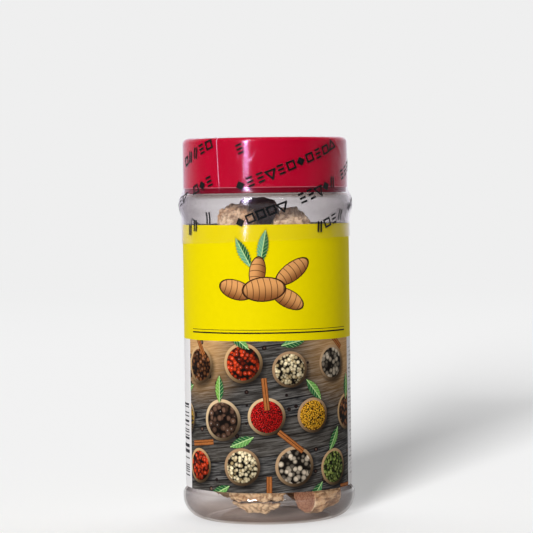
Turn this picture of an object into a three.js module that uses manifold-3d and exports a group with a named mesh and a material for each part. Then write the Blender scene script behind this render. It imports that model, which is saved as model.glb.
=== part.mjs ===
// Clear spice jar of dried galangal root: blown jar, screw cap with liner, wrapped label, shrink band and
// the root pieces that fill it. Millimetres, +Z up. The jar stands on Z = 0 round the Z axis, and its front
// is towards -Y.
import * as THREE from "three";
import { mergeVertices } from "three/addons/utils/BufferGeometryUtils.js";
import Module from "manifold-3d";

const wasm = await Module();
wasm.setup();

// Driving dimensions of the jar
const SIDES = 48; // facets round every turned piece
const WALL = 0.9; // blown wall of the body
const BASE_RADIUS = 35; // bulge at the base and the one at the shoulder, which guard the label
const SHOULDER_RADIUS = 34.95;
const PANEL_RADIUS = 33.6; // recessed panel that carries the label
const PUSH_UP = 3; // rise of the domed base
const RING_INNER = 24; // flat ring that the jar stands on
const RING_OUTER = 26;
const HEEL_RADIUS = BASE_RADIUS - RING_OUTER;
const BASE_BULGE_TOP = 10.4;
const PANEL_BOTTOM = 13;
const PANEL_TOP = 121.8;
const SHOULDER_BOTTOM = 126.8;
const SHOULDER_TOP = 128.8;
const SHOULDER_ROUND = 2.8;
const SHOULDER_TURN = 75; // degrees that the shoulder turns in towards the neck
const NECK_FOOT = 132;
const NECK_RADIUS = 30.6;
const MOUTH_RADIUS = 28.9;
const RIM_TOP = 151.2;
const RIM_ROUND = 0.5;

// Thread of the neck and the cap
const THREAD_PITCH = 4.23;
const THREAD_TURNS = 1.15;
const THREAD_TOP = 148.6; // middle of the neck thread's upper end
const THREAD_DEPTH = 0.8;
const THREAD_ROOT_HALF = 0.95; // half heights of the ridge at its root and its crest
const THREAD_CREST_HALF = 0.4;
const THREAD_SUNK = 0.4; // the ridge's foot inside the wall that carries it
const THREAD_RUN_OUT = 0.08; // turns over which the ridge fades at each end

// Cap and liner
const CAP_RADIUS = 33.3;
const CAP_BORE = 32;
const CAP_BOTTOM = 132; // underside of the ring that stands in a little below the skirt
const SKIRT_BOTTOM = 134;
const CAP_TOP = 154;
const CAP_ROOF = 1.3;
const CAP_EDGE_ROUND = 1.8;
const CAP_LIP_ROUND = 0.4;
const LINER_THICKNESS = 1;
const LINER_RADIUS = 30.9;

// Label and shrink band
const SKIN_GAP = 0.12; // air under the label and the band
const LABEL_THICKNESS = 0.22;
const LABEL_BOTTOM = 13.4;
const LABEL_TOP = 119.5;
const LABEL_WIDTH = 203; // length round the jar, which leaves a clear strip at the back
const BAND_THICKNESS = 0.2;
const BAND_BOTTOM = 113;
const BAND_SKEW = 1.1; // how far the film's lower edge is higher on the right and lower on the left
const BAND_LIP = 3.6; // width of the film that folds in over the cap's top

// Fill of root pieces
const PILE_COUNT = 16; // pieces between those that show at the base and those that show at the top
const ROOT_SIDES = 10;
const ROOT_FLATNESS = 0.9; // height of a piece's section over its width
const SWELL = 0.1; // how much a piece thickens and thins along its length
const LOBES = [0.05, 0.03]; // two-sided and three-sided share of its section
const SCAR_LIFT = 0.6; // height of a leaf-scar ring
const SCAR_HALF = 1.5; // half width of a ring
const WORN_LENGTH = 1.4; // how far behind a broken end its worn edge lies
const WORN_SHARES = [0.6, 0.9]; // girth left at the broken end and at that edge
const STUB_SIDES = 8;
const STUB_GIRTH = 0.74; // a side shoot's thickness at its foot, over its piece's girth
const STUB_TAPER = 0.16;
const BALLS = 8; // balls that stand for a piece while it is laid, the end ones set in from the cuts
const BALL_INSET = 0.35;
const ROOT_CLEARANCE = 0.9; // air kept round each piece when it is laid in the jar
const WALL_CLEARANCE = 1.2; // air kept between a piece and the jar's side
const DROPS = 400; // places tried for each piece that is poured in
const SHAKES = 500; // small moves that then let it settle
const STEEPEST = 1; // radians that a poured piece may lean when it is dropped
const SHAKE_TURN = 0.5; // largest turn and shift of a shake, which die away as it goes on
const SHAKE_SHIFT = 8;
const ROOM_RADIUS = PANEL_RADIUS - WALL - WALL_CLEARANCE;
const SLIDE_STEPS = 40; // most steps of a piece's slide in from the wall
const SEED = 45;

const { degToRad, lerp } = THREE.MathUtils;

// Helpers for outlines and solids

const point = (r, z) => new THREE.Vector2(r, z);
const ease = (t) => t * t * (3 - 2 * t);

// Points of an arc, both ends included
function arc(centreR, centreZ, radius, fromDeg, toDeg, steps) {
  return Array.from({ length: steps + 1 }, (_, i) => {
    const a = degToRad(lerp(fromDeg, toDeg, i / steps));
    return point(centreR + radius * Math.cos(a), centreZ + radius * Math.sin(a));
  });
}

// Soft step of the wall from one radius to another, both ends included
function wallStep(fromR, fromZ, toR, toZ, steps) {
  return Array.from({ length: steps + 1 }, (_, i) => {
    const t = i / steps;
    return point(lerp(fromR, toR, ease(t)), lerp(fromZ, toZ, t));
  });
}

// Solid of revolution about Z
const turned = (outline) => new THREE.LatheGeometry(outline, SIDES).rotateX(Math.PI / 2);

// Cylinder whose rings of points are moved to new places, with a flat fan over each end
function skin(rings) {
  const sides = rings[0].length;
  const steps = rings.length - 1;
  const geometry = new THREE.CylinderGeometry(1, 1, 1, sides, steps);
  const { position } = geometry.attributes;
  const middle = (ring) =>
    ring.reduce((sum, p) => sum.add(p), new THREE.Vector3()).divideScalar(sides);
  for (let i = 0; i < position.count; i++) {
    const [x, y, z] = position.array.subarray(3 * i, 3 * i + 3);
    const ring = rings[Math.round((y + 0.5) * steps)];
    const j = Math.round((Math.atan2(x, z) / (2 * Math.PI)) * sides);
    const onEdge = Math.hypot(x, z) > 0.5;
    position.setXYZ(i, ...(onEdge ? ring.at(j % sides) : middle(ring)));
  }
  return geometry;
}

// Geometry as a manifold solid with its faces pointing out
function solid(geometry) {
  const bare = geometry.clone();
  bare.deleteAttribute("normal");
  bare.deleteAttribute("uv");
  const merged = mergeVertices(bare, 1e-4);
  const kept = [];
  for (let i = 0; i < merged.index.count; i += 3) {
    const [a, b, c] = merged.index.array.subarray(i, i + 3);
    if (a !== b && b !== c && c !== a) kept.push([a, b, c]);
  }
  const build = (triangles) =>
    new wasm.Manifold(
      new wasm.Mesh({
        numProp: 3,
        vertProperties: merged.attributes.position.array,
        triVerts: new Uint32Array(triangles.flat()),
      }),
    );
  const made = build(kept);
  return made.volume() > 0 ? made : build(kept.map(([a, b, c]) => [a, c, b]));
}

function geometryOf(manifold) {
  const { vertProperties, triVerts } = manifold.getMesh();
  return new THREE.BufferGeometry()
    .setAttribute("position", new THREE.BufferAttribute(vertProperties, 3))
    .setIndex(new THREE.BufferAttribute(triVerts, 1));
}

const joined = (...geometries) =>
  geometryOf(geometries.map(solid).reduce((whole, piece) => whole.add(piece)));

// Repeatable random numbers from 0 to 1
function randomFrom(seed) {
  let state = seed;
  return () => {
    state = (state + 0x6d2b79f5) | 0;
    let t = Math.imul(state ^ (state >>> 15), 1 | state);
    t = (t + Math.imul(t ^ (t >>> 7), 61 | t)) ^ t;
    return ((t ^ (t >>> 14)) >>> 0) / 2 ** 32;
  };
}

// Jar

// Outline of the body from the middle of the base up to the neck, taken in by the wall for its inside
function bodyOutline(inset) {
  const base = BASE_RADIUS - inset;
  const panel = PANEL_RADIUS - inset;
  const shoulder = SHOULDER_RADIUS - inset;
  const dome = new THREE.QuadraticBezierCurve(
    point(0, PUSH_UP + inset),
    point(RING_INNER * 0.7, PUSH_UP + inset),
    point(RING_INNER, inset),
  );
  const shoulderCentre = SHOULDER_RADIUS - SHOULDER_ROUND;
  return [
    ...dome.getPoints(3),
    ...arc(RING_OUTER, HEEL_RADIUS, HEEL_RADIUS - inset, -90, 0, 5),
    ...wallStep(base, BASE_BULGE_TOP, panel, PANEL_BOTTOM, 3),
    ...wallStep(panel, PANEL_TOP, shoulder, SHOULDER_BOTTOM, 3),
    ...arc(shoulderCentre, SHOULDER_TOP, SHOULDER_ROUND - inset, 0, SHOULDER_TURN, 3),
  ];
}

// Thread ridge along a falling helix: its foot lies in the wall and its crest stands towards crestRadius
function threadRidge(footRadius, crestRadius, topZ) {
  const steps = Math.round(SIDES * THREAD_TURNS * 0.75);
  const rings = Array.from({ length: steps + 1 }, (_, i) => {
    const turn = (THREAD_TURNS * i) / steps;
    const fade = Math.min(1, turn / THREAD_RUN_OUT, (THREAD_TURNS - turn) / THREAD_RUN_OUT);
    const crest = lerp(footRadius, crestRadius, 0.3 + 0.7 * fade);
    const angle = -2 * Math.PI * turn;
    const z = topZ - THREAD_PITCH * turn;
    const at = (r, dz) => new THREE.Vector3(r * Math.cos(angle), r * Math.sin(angle), z + dz);
    return [
      at(footRadius, -THREAD_ROOT_HALF),
      at(crest, -THREAD_CREST_HALF),
      at(crest, THREAD_CREST_HALF),
      at(footRadius, THREAD_ROOT_HALF),
    ];
  });
  return skin(rings);
}

function jarGeometry() {
  const body = turned([
    ...bodyOutline(0),
    point(NECK_RADIUS, NECK_FOOT),
    ...arc(NECK_RADIUS - RIM_ROUND, RIM_TOP - RIM_ROUND, RIM_ROUND, 0, 90, 2),
    point(MOUTH_RADIUS, RIM_TOP),
    point(MOUTH_RADIUS, NECK_FOOT - WALL / 2),
    ...bodyOutline(WALL).reverse(),
  ]);
  const thread = threadRidge(NECK_RADIUS - THREAD_SUNK, NECK_RADIUS + THREAD_DEPTH, THREAD_TOP);
  return joined(body, thread);
}

// Cap and liner

function capGeometry() {
  const shell = turned([
    point(0, CAP_TOP - CAP_ROOF),
    point(CAP_BORE, CAP_TOP - CAP_ROOF),
    point(CAP_BORE, CAP_BOTTOM),
    point(CAP_RADIUS - CAP_LIP_ROUND, CAP_BOTTOM),
    ...arc(CAP_RADIUS - CAP_LIP_ROUND, SKIRT_BOTTOM + CAP_LIP_ROUND, CAP_LIP_ROUND, -90, 0, 2),
    ...arc(CAP_RADIUS - CAP_EDGE_ROUND, CAP_TOP - CAP_EDGE_ROUND, CAP_EDGE_ROUND, 0, 90, 4),
    point(0, CAP_TOP),
  ]);
  // The cap's ridge runs half a pitch under the neck's, where it pulls the cap down
  const threadTop = THREAD_TOP - THREAD_PITCH / 2;
  const thread = threadRidge(CAP_BORE + THREAD_SUNK, CAP_BORE - THREAD_DEPTH, threadTop);
  return joined(shell, thread);
}

function linerGeometry() {
  const top = CAP_TOP - CAP_ROOF - (CAP_TOP - CAP_ROOF - RIM_TOP - LINER_THICKNESS) / 2;
  return turned([
    point(0, top - LINER_THICKNESS),
    point(LINER_RADIUS, top - LINER_THICKNESS),
    point(LINER_RADIUS, top),
    point(0, top),
  ]);
}

// Label and shrink band

function labelGeometry() {
  const inner = PANEL_RADIUS + SKIN_GAP;
  const outer = inner + LABEL_THICKNESS;
  const half = LABEL_WIDTH / inner / 2;
  const front = -Math.PI / 2;
  const sheet = new THREE.Shape()
    .absarc(0, 0, outer, front - half, front + half, false)
    .absarc(0, 0, inner, front + half, front - half, true);
  const depth = LABEL_TOP - LABEL_BOTTOM;
  return new THREE.ExtrudeGeometry(sheet, { depth, bevelEnabled: false, curveSegments: SIDES / 2 })
    .translate(0, 0, LABEL_BOTTOM);
}

// Side of the film at a distance from the cap and the jar, from its fold over the cap down to its lower edge
function bandSide(gap) {
  const cap = CAP_RADIUS + gap;
  const shoulder = SHOULDER_RADIUS + gap;
  const panel = PANEL_RADIUS + SKIN_GAP + LABEL_THICKNESS + gap;
  const edge = CAP_EDGE_ROUND + gap;
  return [
    point(CAP_RADIUS - BAND_LIP, CAP_TOP + gap),
    ...arc(CAP_RADIUS - CAP_EDGE_ROUND, CAP_TOP - CAP_EDGE_ROUND, edge, 90, 0, 4),
    ...wallStep(cap, SKIRT_BOTTOM, shoulder, SHOULDER_TOP, 3),
    ...wallStep(shoulder, SHOULDER_BOTTOM, panel, PANEL_TOP, 3),
    point(panel, BAND_BOTTOM),
  ];
}

function bandGeometry() {
  const inside = bandSide(SKIN_GAP);
  const outside = bandSide(SKIN_GAP + BAND_THICKNESS);
  const film = turned([...outside.reverse(), ...inside, outside[0]]);
  const { position } = film.attributes;
  for (let i = 0; i < position.count; i++) {
    const skew = (BAND_SKEW * position.getX(i)) / PANEL_RADIUS;
    if (position.getZ(i) < BAND_BOTTOM + 1) position.setZ(i, position.getZ(i) + skew);
  }
  return film;
}

// Root pieces

// One piece of dried rhizome, lying along X about its own middle: a bent body with leaf-scar rings and cut
// ends, the first of them broken and worn round on some, and on others the stub of a side shoot. Returns its
// solid and the balls that stand for it while it is laid.
function rootPiece(piece, random) {
  const { length, girth, rings, bend = 0, slant = [0.2, -0.2], taper = 0.1, stub = 0, worn = false } = piece;
  const phases = [random(), random(), random()].map((u) => 2 * Math.PI * u);
  const scarHalf = SCAR_HALF / length;
  const stations = [{ t: 0, end: slant[0], share: worn ? WORN_SHARES[0] : 1 }];
  if (worn) stations.push({ t: WORN_LENGTH / length, share: WORN_SHARES[1] });
  for (let k = 0; k < rings; k++) {
    const scar = (k + 0.35 + 0.3 * random()) / rings;
    stations.push({ t: scar - scarHalf }, { t: scar, lift: SCAR_LIFT }, { t: scar + scarHalf });
  }
  stations.push({ t: 1, end: slant[1] });
  const thickness = (t) => girth * (1 + SWELL * Math.sin(5 * t + phases[0]) - taper * (t - 0.5));
  const middleAt = (t) => new THREE.Vector3((t - 0.5) * length, bend * (Math.sin(Math.PI * t) - 0.6), 0);
  const body = stations.map(({ t, end = 0, lift = 0, share = 1 }) => {
    const centre = middleAt(t);
    return Array.from({ length: ROOT_SIDES }, (_, j) => {
      const a = (2 * Math.PI * j) / ROOT_SIDES;
      const twoSided = LOBES[0] * Math.cos(2 * a + phases[1]);
      const threeSided = LOBES[1] * Math.cos(3 * a + phases[2]);
      const r = share * thickness(t) * (1 + twoSided + threeSided) + lift;
      const dy = r * Math.cos(a);
      const dz = ROOT_FLATNESS * r * Math.sin(a);
      return new THREE.Vector3(centre.x + end * (dy + 0.5 * dz), centre.y + dy, dz);
    });
  });
  const inset = (BALL_INSET * girth) / length;
  const balls = Array.from({ length: BALLS }, (_, i) => {
    const t = lerp(inset, 1 - inset, i / (BALLS - 1));
    return { centre: middleAt(t), radius: thickness(t) };
  });
  if (!stub) return { geometry: skin(body), balls };

  // The stub leaves the outside of the bend at a slant and ends in a blunt cut
  const foot = middleAt(0.45);
  const way = new THREE.Vector3(0.5, Math.sign(bend || 1), 0.35).normalize();
  const frame = new THREE.Quaternion().setFromUnitVectors(new THREE.Vector3(1, 0, 0), way);
  const stubStations = [0, 0.55, 0.8, 1].map((t) => ({
    along: t * stub,
    r: girth * (STUB_GIRTH - STUB_TAPER * t),
  }));
  const shoot = stubStations.map(({ along, r }) =>
    Array.from({ length: STUB_SIDES }, (_, j) => {
      const a = (2 * Math.PI * j) / STUB_SIDES;
      return new THREE.Vector3(along, r * Math.cos(a), r * Math.sin(a)).applyQuaternion(frame).add(foot);
    }),
  );
  for (const { along, r } of stubStations) {
    balls.push({ centre: way.clone().multiplyScalar(along).add(foot), radius: r });
  }
  return { geometry: joined(skin(body), skin(shoot)), balls };
}

// Height of the jar's inner floor at a distance from the axis
const floorAt = (r) => WALL + PUSH_UP * Math.max(0, 1 - (r / RING_INNER) ** 2);

// Lowest height at which a set of balls rests on the floor or on the balls laid before it
function restingHeight(balls, laid) {
  const heights = balls.flatMap(({ centre, radius }) => {
    const reach = radius + ROOT_CLEARANCE;
    const floor = floorAt(Math.hypot(centre.x, centre.y)) + reach - centre.z;
    const supports = laid.flatMap((other) => {
      const apart = Math.hypot(centre.x - other.centre.x, centre.y - other.centre.y);
      const touch = reach + other.radius;
      return apart < touch ? [other.centre.z + Math.sqrt(touch ** 2 - apart ** 2) - centre.z] : [];
    });
    return [floor, ...supports];
  });
  return Math.max(...heights);
}

// Balls turned to a pose and moved to a place in plan
function posedBalls(balls, pose, x, y) {
  const shift = new THREE.Vector3(x, y, 0);
  return balls.map(({ centre, radius }) => ({
    centre: centre.clone().applyEuler(pose).add(shift),
    radius,
  }));
}

const outerReach = ({ centre, radius }) => Math.hypot(centre.x, centre.y) + radius;

// Slides a posed piece in from the wall until it is clear of it, and lowers it until it rests
function layAt(balls, pose, laid, x, y) {
  const place = new THREE.Vector2(x, y);
  let posed = posedBalls(balls, pose, x, y);
  for (let n = 0; n < SLIDE_STEPS; n++) {
    const worst = posed.reduce((a, b) => (outerReach(a) > outerReach(b) ? a : b));
    const excess = outerReach(worst) - ROOM_RADIUS;
    if (excess <= 0) break;
    place.sub(new THREE.Vector2(worst.centre.x, worst.centre.y).setLength(excess));
    posed = posedBalls(balls, pose, place.x, place.y);
  }
  return { pose, x: place.x, y: place.y, height: restingHeight(posed, laid) };
}

// Drops a piece at seeded poses and places, keeps the one that rests lowest, and shakes it down from there
function pourIn(balls, laid, random) {
  const sway = (most) => most * (2 * random() - 1);
  let best = { height: Infinity };
  const tryAt = (turn, x, y) => {
    const place = layAt(balls, new THREE.Euler(...turn, "ZYX"), laid, x, y);
    if (place.height < best.height) best = { turn, ...place };
  };
  for (let n = 0; n < DROPS; n++) {
    const turn = [sway(Math.PI), sway(STEEPEST), sway(Math.PI)];
    tryAt(turn, sway(ROOM_RADIUS), sway(ROOM_RADIUS));
  }
  for (let n = 0; n < SHAKES; n++) {
    const calm = 1 - n / SHAKES;
    const turn = best.turn.map((angle) => angle + sway(SHAKE_TURN * calm));
    tryAt(turn, best.x + sway(SHAKE_SHIFT * calm), best.y + sway(SHAKE_SHIFT * calm));
  }
  return best;
}

// Lays the pieces in the jar one by one, the ones at the base sunk to touch its floor, and returns a mesh
// for each
function fillOfRoots(pieces) {
  const random = randomFrom(SEED);
  const laid = [];
  return pieces.map((piece, i) => {
    const { geometry, balls } = rootPiece(piece, random);
    const { laidAt, turn, sink = 0 } = piece;
    const place = laidAt
      ? layAt(balls, new THREE.Euler(...turn.map(degToRad), "ZYX"), laid, ...laidAt)
      : pourIn(balls, laid, random);
    place.height -= sink;
    for (const ball of posedBalls(balls, place.pose, place.x, place.y)) {
      ball.centre.z += place.height;
      laid.push(ball);
    }
    const bark = rootBark[i % rootBark.length];
    const mesh = named(`root_${String(i + 1).padStart(2, "0")}`, geometry, bark);
    mesh.position.set(place.x, place.y, place.height);
    mesh.rotation.copy(place.pose);
    return mesh;
  });
}

// Materials

const finish = (color, roughness, more = {}) =>
  new THREE.MeshStandardMaterial({ color, roughness, metalness: 0, ...more });
const clearPlastic = finish(0xd9d6d8, 0.08, { transparent: true, opacity: 0.35 });
const bandFilm = finish(0xcfc9d0, 0.12, { transparent: true, opacity: 0.3 });
const capRed = finish(0xc00a30, 0.4);
const linerFoam = finish(0xe8e6e0, 0.8);
const labelPaper = finish(0xf6e600, 0.45);
const rootBark = [0xb98a64, 0xa87450, 0xc49a74].map((color) => finish(color, 0.9));

// Assembly

function named(name, geometry, material) {
  const mesh = new THREE.Mesh(geometry, material);
  mesh.name = name;
  return mesh;
}

// Pieces that show through the clear base, the pile over them, and the pieces that show under the cap
const baseRoots = [
  { length: 22, girth: 10.5, rings: 3, worn: true, sink: 1.3, laidAt: [-6.5, -19], turn: [0, -10, 84] },
  { length: 16, girth: 7, rings: 2, slant: [0, 0.1], sink: 0.4, laidAt: [26, -13], turn: [20, -4, 40] },
  { length: 30, girth: 7.2, rings: 3, bend: 2, laidAt: [-15, 11], turn: [0, 20, 52] },
];
const topRoots = [
  { length: 30, girth: 7.8, rings: 4, bend: 1, worn: true, laidAt: [-13, -11], turn: [0, 4, 88] },
  { length: 28, girth: 7.8, rings: 4, bend: -1, worn: true, laidAt: [11.5, -12], turn: [30, 4, 96] },
  { length: 17, girth: 6, rings: 2, bend: 1, laidAt: [-3, 20], turn: [60, -6, 8] },
];

// Seeded sizes of the pieces in the pile, one in three with the stub of a side shoot
function pileRoots(count) {
  const random = randomFrom(SEED + 1);
  return Array.from({ length: count }, (_, i) => ({
    length: lerp(27, 40, random()),
    girth: lerp(7, 8.8, random()),
    bend: lerp(-4, 4, random()),
    slant: [lerp(-0.4, 0.4, random()), lerp(-0.4, 0.4, random())],
    rings: 3,
    stub: i % 3 === 2 ? 13 : 0,
  }));
}

const jar = new THREE.Group();
jar.add(
  named("jar", jarGeometry(), clearPlastic),
  named("cap", capGeometry(), capRed),
  named("cap_liner", linerGeometry(), linerFoam),
  named("label", labelGeometry(), labelPaper),
  named("shrink_band", bandGeometry(), bandFilm),
  ...fillOfRoots([...baseRoots, ...pileRoots(PILE_COUNT), ...topRoots]),
);

export default jar;
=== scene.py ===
"""Looks of a clear spice jar filled with dried galangal root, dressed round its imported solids.

Metres, +Z up. The jar stands on Z = 0 round the Z axis with its front towards -Y. Sizes named here are in
millimetres, apart from those of the camera and the studio, which are in metres. Angles round the jar are in
degrees from its front, positive towards +X.
"""
import math
import random
from functools import reduce

import bmesh
import bpy
import numpy as np
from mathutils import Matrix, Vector


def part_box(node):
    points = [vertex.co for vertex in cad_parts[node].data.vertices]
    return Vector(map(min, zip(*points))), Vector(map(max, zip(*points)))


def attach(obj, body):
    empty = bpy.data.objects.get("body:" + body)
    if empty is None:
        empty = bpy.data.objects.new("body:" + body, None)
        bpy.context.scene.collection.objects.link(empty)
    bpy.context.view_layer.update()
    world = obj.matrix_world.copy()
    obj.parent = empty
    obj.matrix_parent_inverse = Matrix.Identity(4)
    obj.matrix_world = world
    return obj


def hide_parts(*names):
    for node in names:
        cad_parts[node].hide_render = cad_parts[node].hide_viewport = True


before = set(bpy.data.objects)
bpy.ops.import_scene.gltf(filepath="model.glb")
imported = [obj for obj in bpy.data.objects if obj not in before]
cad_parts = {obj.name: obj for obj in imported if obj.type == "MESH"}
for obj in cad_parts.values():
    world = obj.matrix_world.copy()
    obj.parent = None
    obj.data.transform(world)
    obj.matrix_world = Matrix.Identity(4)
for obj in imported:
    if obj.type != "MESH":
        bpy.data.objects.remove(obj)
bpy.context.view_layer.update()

MM = 0.001

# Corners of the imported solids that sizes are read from
_, jar_high = (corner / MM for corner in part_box("jar"))
cap_low, cap_high = (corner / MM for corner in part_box("cap"))
liner_low, liner_high = (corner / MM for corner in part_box("cap_liner"))
label_low, label_high = (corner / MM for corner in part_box("label"))

# Jar
TURNED_SIDES = 192
WALL = 0.9
BASE_RADIUS = jar_high.x
SHOULDER_RADIUS = 34.95
PANEL_RADIUS = 33.6
PUSH_UP = 3.0
PUSH_UP_CURVE = 2.4  # power that the push-up falls away by
PUSH_UP_STEPS = 16
RING_INNER = 24.0
RING_OUTER = 26.0
HEEL_RADIUS = BASE_RADIUS - RING_OUTER
BASE_BULGE_TOP = 10.4
PANEL_BOTTOM = 13.0
STEP_MIDDLE = (BASE_BULGE_TOP + PANEL_BOTTOM) / 2  # the wall is polished under here and dull over it
POLISH_FOOT = BASE_BULGE_TOP - 0.8
DULL_TOP = PANEL_BOTTOM + 0.6
PANEL_TOP = 121.8
SHOULDER_BOTTOM = 126.8
SHOULDER_TOP = 128.8
SHOULDER_ROUND = 2.8
SHOULDER_TURN = 75
NECK_FOOT = 132.0
NECK_RADIUS = 30.6
MOUTH_RADIUS = 28.9
RIM_TOP = jar_high.z
RIM_ROUND = 0.5

# Thread of the neck and the cap
THREAD_PITCH = 4.23
THREAD_TURNS = 1.15
THREAD_TOP = 148.6
THREAD_DEPTH = 0.8
THREAD_CREST_HALF = 0.4
THREAD_ROOT_HALF = 0.95
THREAD_RUN_OUT = 0.08
THREAD_ROW = 0.24  # height of a row of faces where the thread runs
THREAD_BELOW = 6.5  # how far those rows reach under and over the start of the thread
THREAD_ABOVE = 1.2

# Cap and liner
CAP_RADIUS = cap_high.x
CAP_BORE = 32.0
CAP_BOTTOM = cap_low.z
SKIRT_BOTTOM = 134.0
CAP_TOP = cap_high.z
CAP_ROOF = 1.3
CAP_EDGE_ROUND = 1.8
CAP_LIP_ROUND = 0.4
# heights of a painted highlight along the bottom edge of the cap's skirt
LIP_HIGHLIGHT_LOW = SKIRT_BOTTOM + 0.1
LIP_HIGHLIGHT_HIGH = SKIRT_BOTTOM + 0.36
CAP_DISH = 0.25  # how far the middle of the cap's top lies under its rim
CAP_DISH_RADIUS = 28.0
CAP_DISH_EDGE = 0.8
LINER_RADIUS = liner_high.x
LINER_ROUND = 0.2

# Label
LABEL_RADIUS = label_high.x
LABEL_THICKNESS = 0.22
LABEL_BOTTOM = label_low.z
LABEL_TOP = label_high.z
LABEL_WIDTH = 203.0
LABEL_HEIGHT = LABEL_TOP - LABEL_BOTTOM
LABEL_COLUMNS = 232
PICTURE_ROWS = 24
YELLOW_ROWS = 18
LABEL_RIPPLE = 0.03
RIPPLES_ROUND = 9  # waves of the paper in a turn, and the radians a millimetre that they lean and rise by
RIPPLE_LEAN = 0.11
RIPPLE_RISE = 0.19
RIPPLE_START = 2

# Label print, in millimetres from the middle of the label's lower edge
YELLOW_FOOT = 60.1
PICTURE_LEFT = -39.0
PICTURE_RIGHT = 42.0
INK_EDGE = 0.05  # half of the soft edge of what is printed
BOWL_LEFT = -41.2  # left edge of the first bowl's cell

# Shrink band
BAND_SIDES = 288
BAND_ROW = 0.7
BAND_INNER_GAP = 0.2  # from what the film covers to its inner and its outer face
BAND_OUTER_GAP = 0.3
BAND_BOTTOM = 113.0
BAND_SKEW = 1.1
BAND_LIP = 3.6
SEAM_ANGLE = -34.5  # degrees at the top of the band, and degrees a millimetre that it drifts by below
SEAM_TOP = 152.5
SEAM_SLOPE = -0.09
SEAM_WHOLE = SKIRT_BOTTOM + 4  # the seam shows in full from here up
BAND_PLEATS = 34
BAND_PLEAT_HEIGHT = 0.22
PLEAT_SWAY = 0.8  # how unevenly the pleats are spread, in radians, and how often in a turn
PLEAT_SWAYS = 3
PLEAT_REACH = 0.5  # pleats start this far under the cap's top
EDGE_WAVE = 0.12  # waves of the lower edge, up and down and outwards, and how many go round
EDGE_WAVES = (11, 5)
HEM_WAVE = 0.08
HEM_WAVES = 17

# Print of the band, in rows that climb to the right from an unprinted strip beside its seam
PRINT_START = -17.0
PRINT_END = 319.0
PRINT_CLIMB = 20.7
PRINT_ROW_PITCH = 14.5
PRINT_FIRST_HEIGHT = 120.5
PRINT_PITCH = 4.1
PRINT_HEIGHT = 4.5
PRINT_STROKE = 0.76
PRINT_LIFT = 0.02
PRINT_THICKNESS = 0.03
PRINT_TOP = 151.6
PRINT_MARGIN = 4.3  # marks start this far over the film's lower edge
PRINT_BACK = (100, 175, 290)  # bare from the first angle to the second, then every other row to the third
PRINT_ROWS = 9
PRINT_ROWS_BELOW = 6  # rows that start under the first one
PRINT_MARKS_A_ROW = 60
PRINT_GAPS = 0.08  # share of the marks that is left out
PRINT_SEED = 4

# Roots
ROOT_VOXEL = 0.5
ROOT_SMOOTHING = 10
CUT_FACES = 6  # flat faces of the solid that make a cut, and how closely they lie in one plane
CUT_SAME_WAY = 0.9995
CUT_SAME_DEPTH = 0.02
CUT_LEAST_FACING = 0.55  # skin that faces out of a cut this squarely starts to belong to it
CUT_FACING_RANGE = 0.3  # and by this much more all of it does
CUT_DEPTH = 1.2  # how far off the cut's plane, and in radii how far from its middle, such skin may lie
CUT_MARGIN = 1.1
TONE_SEED = 40
TONE_LEAST = 0.45  # each root's tone is drawn between this and this much more
TONE_RANGE = 0.5
WORN_ROOTS = ("root_01", "root_20", "root_21")  # pieces whose front ends are broken and worn
CRACKED_ROOT = "root_01"
CRACK_HEIGHT = 8.0
CRACK_WANDER = 4.0  # the crack wanders up and down within this
NO_CRACK = -9.0  # under the floor, where no root is
CRACKED_TONE = 0.9  # at the crack's height, and the millimetres that a whole tone fades over
CRACKED_FADE = 4.0
CRACKED_TONES = (0.75, 1.0)
# root at the back in the shade under the cap, coloured dark all over as painted shade
SHADED_ROOT = "root_22"
SHADED_ROOT_TONE = -1.0
BASE_ROOTS = ("root_01", "root_02")
BARK_DEPTHS = {"wrinkle_depth": 0.45, "grain_depth": 0.24, "lump_depth": 0.8}
WORN_DEPTHS = {"wrinkle_depth": 0.55, "grain_depth": 0.34, "lump_depth": 2.4}
BARK_SIZES = {"wrinkle_width": 2.6, "grain_width": 0.9, "cut_hollow": 0.35, "rootlet_length": 1.1}
ROOTLETS_PER_SQUARE_METRE = 9000

# Camera and studio
IMAGE_PX = 533
FOCAL_PX = 2328
SENSOR = 36.0
CAMERA_PLACE = Vector((0.0005, -0.95, 0.131))
CAMERA_PITCH = 1.75
CAMERA_ROLL = 0.74
FLOOR_RINGS = (0.2, 0.6, 1.2, 2.4, 12.0)
FLOOR_FADE = (1.0, 2.4)
STUDIO_TONE = 0.863
FLOOR_GLOW = 0.175
ROOM_LIGHT = 0.03
ROOM_LEFT_LIGHT = 0.1
ROOM_LEFT_EDGE = (0.5, -0.9)
ROOM_TOP_LIGHT = 0.2
ROOM_TOP_EDGE = (0.3, 1.0)
BACKDROP_LIGHT = 0.6
BACKDROP_RIGHT_LIGHT = 0.3
BACKDROP_RIGHT_EDGE = (0.0, 0.5)
BACKDROP_GLOSS_LIGHT = 0.45  # more of it in what mirrors
BACKDROP_EDGE = (0.0, 0.7)
RIGHT_PANEL_LIGHT = 0.7  # pale panel at the right that shows only in glossy skins
RIGHT_PANEL_EDGE = (0.86, 0.92)
LIGHT_AIM = Vector((0.0, 0.0, 0.08))
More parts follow.
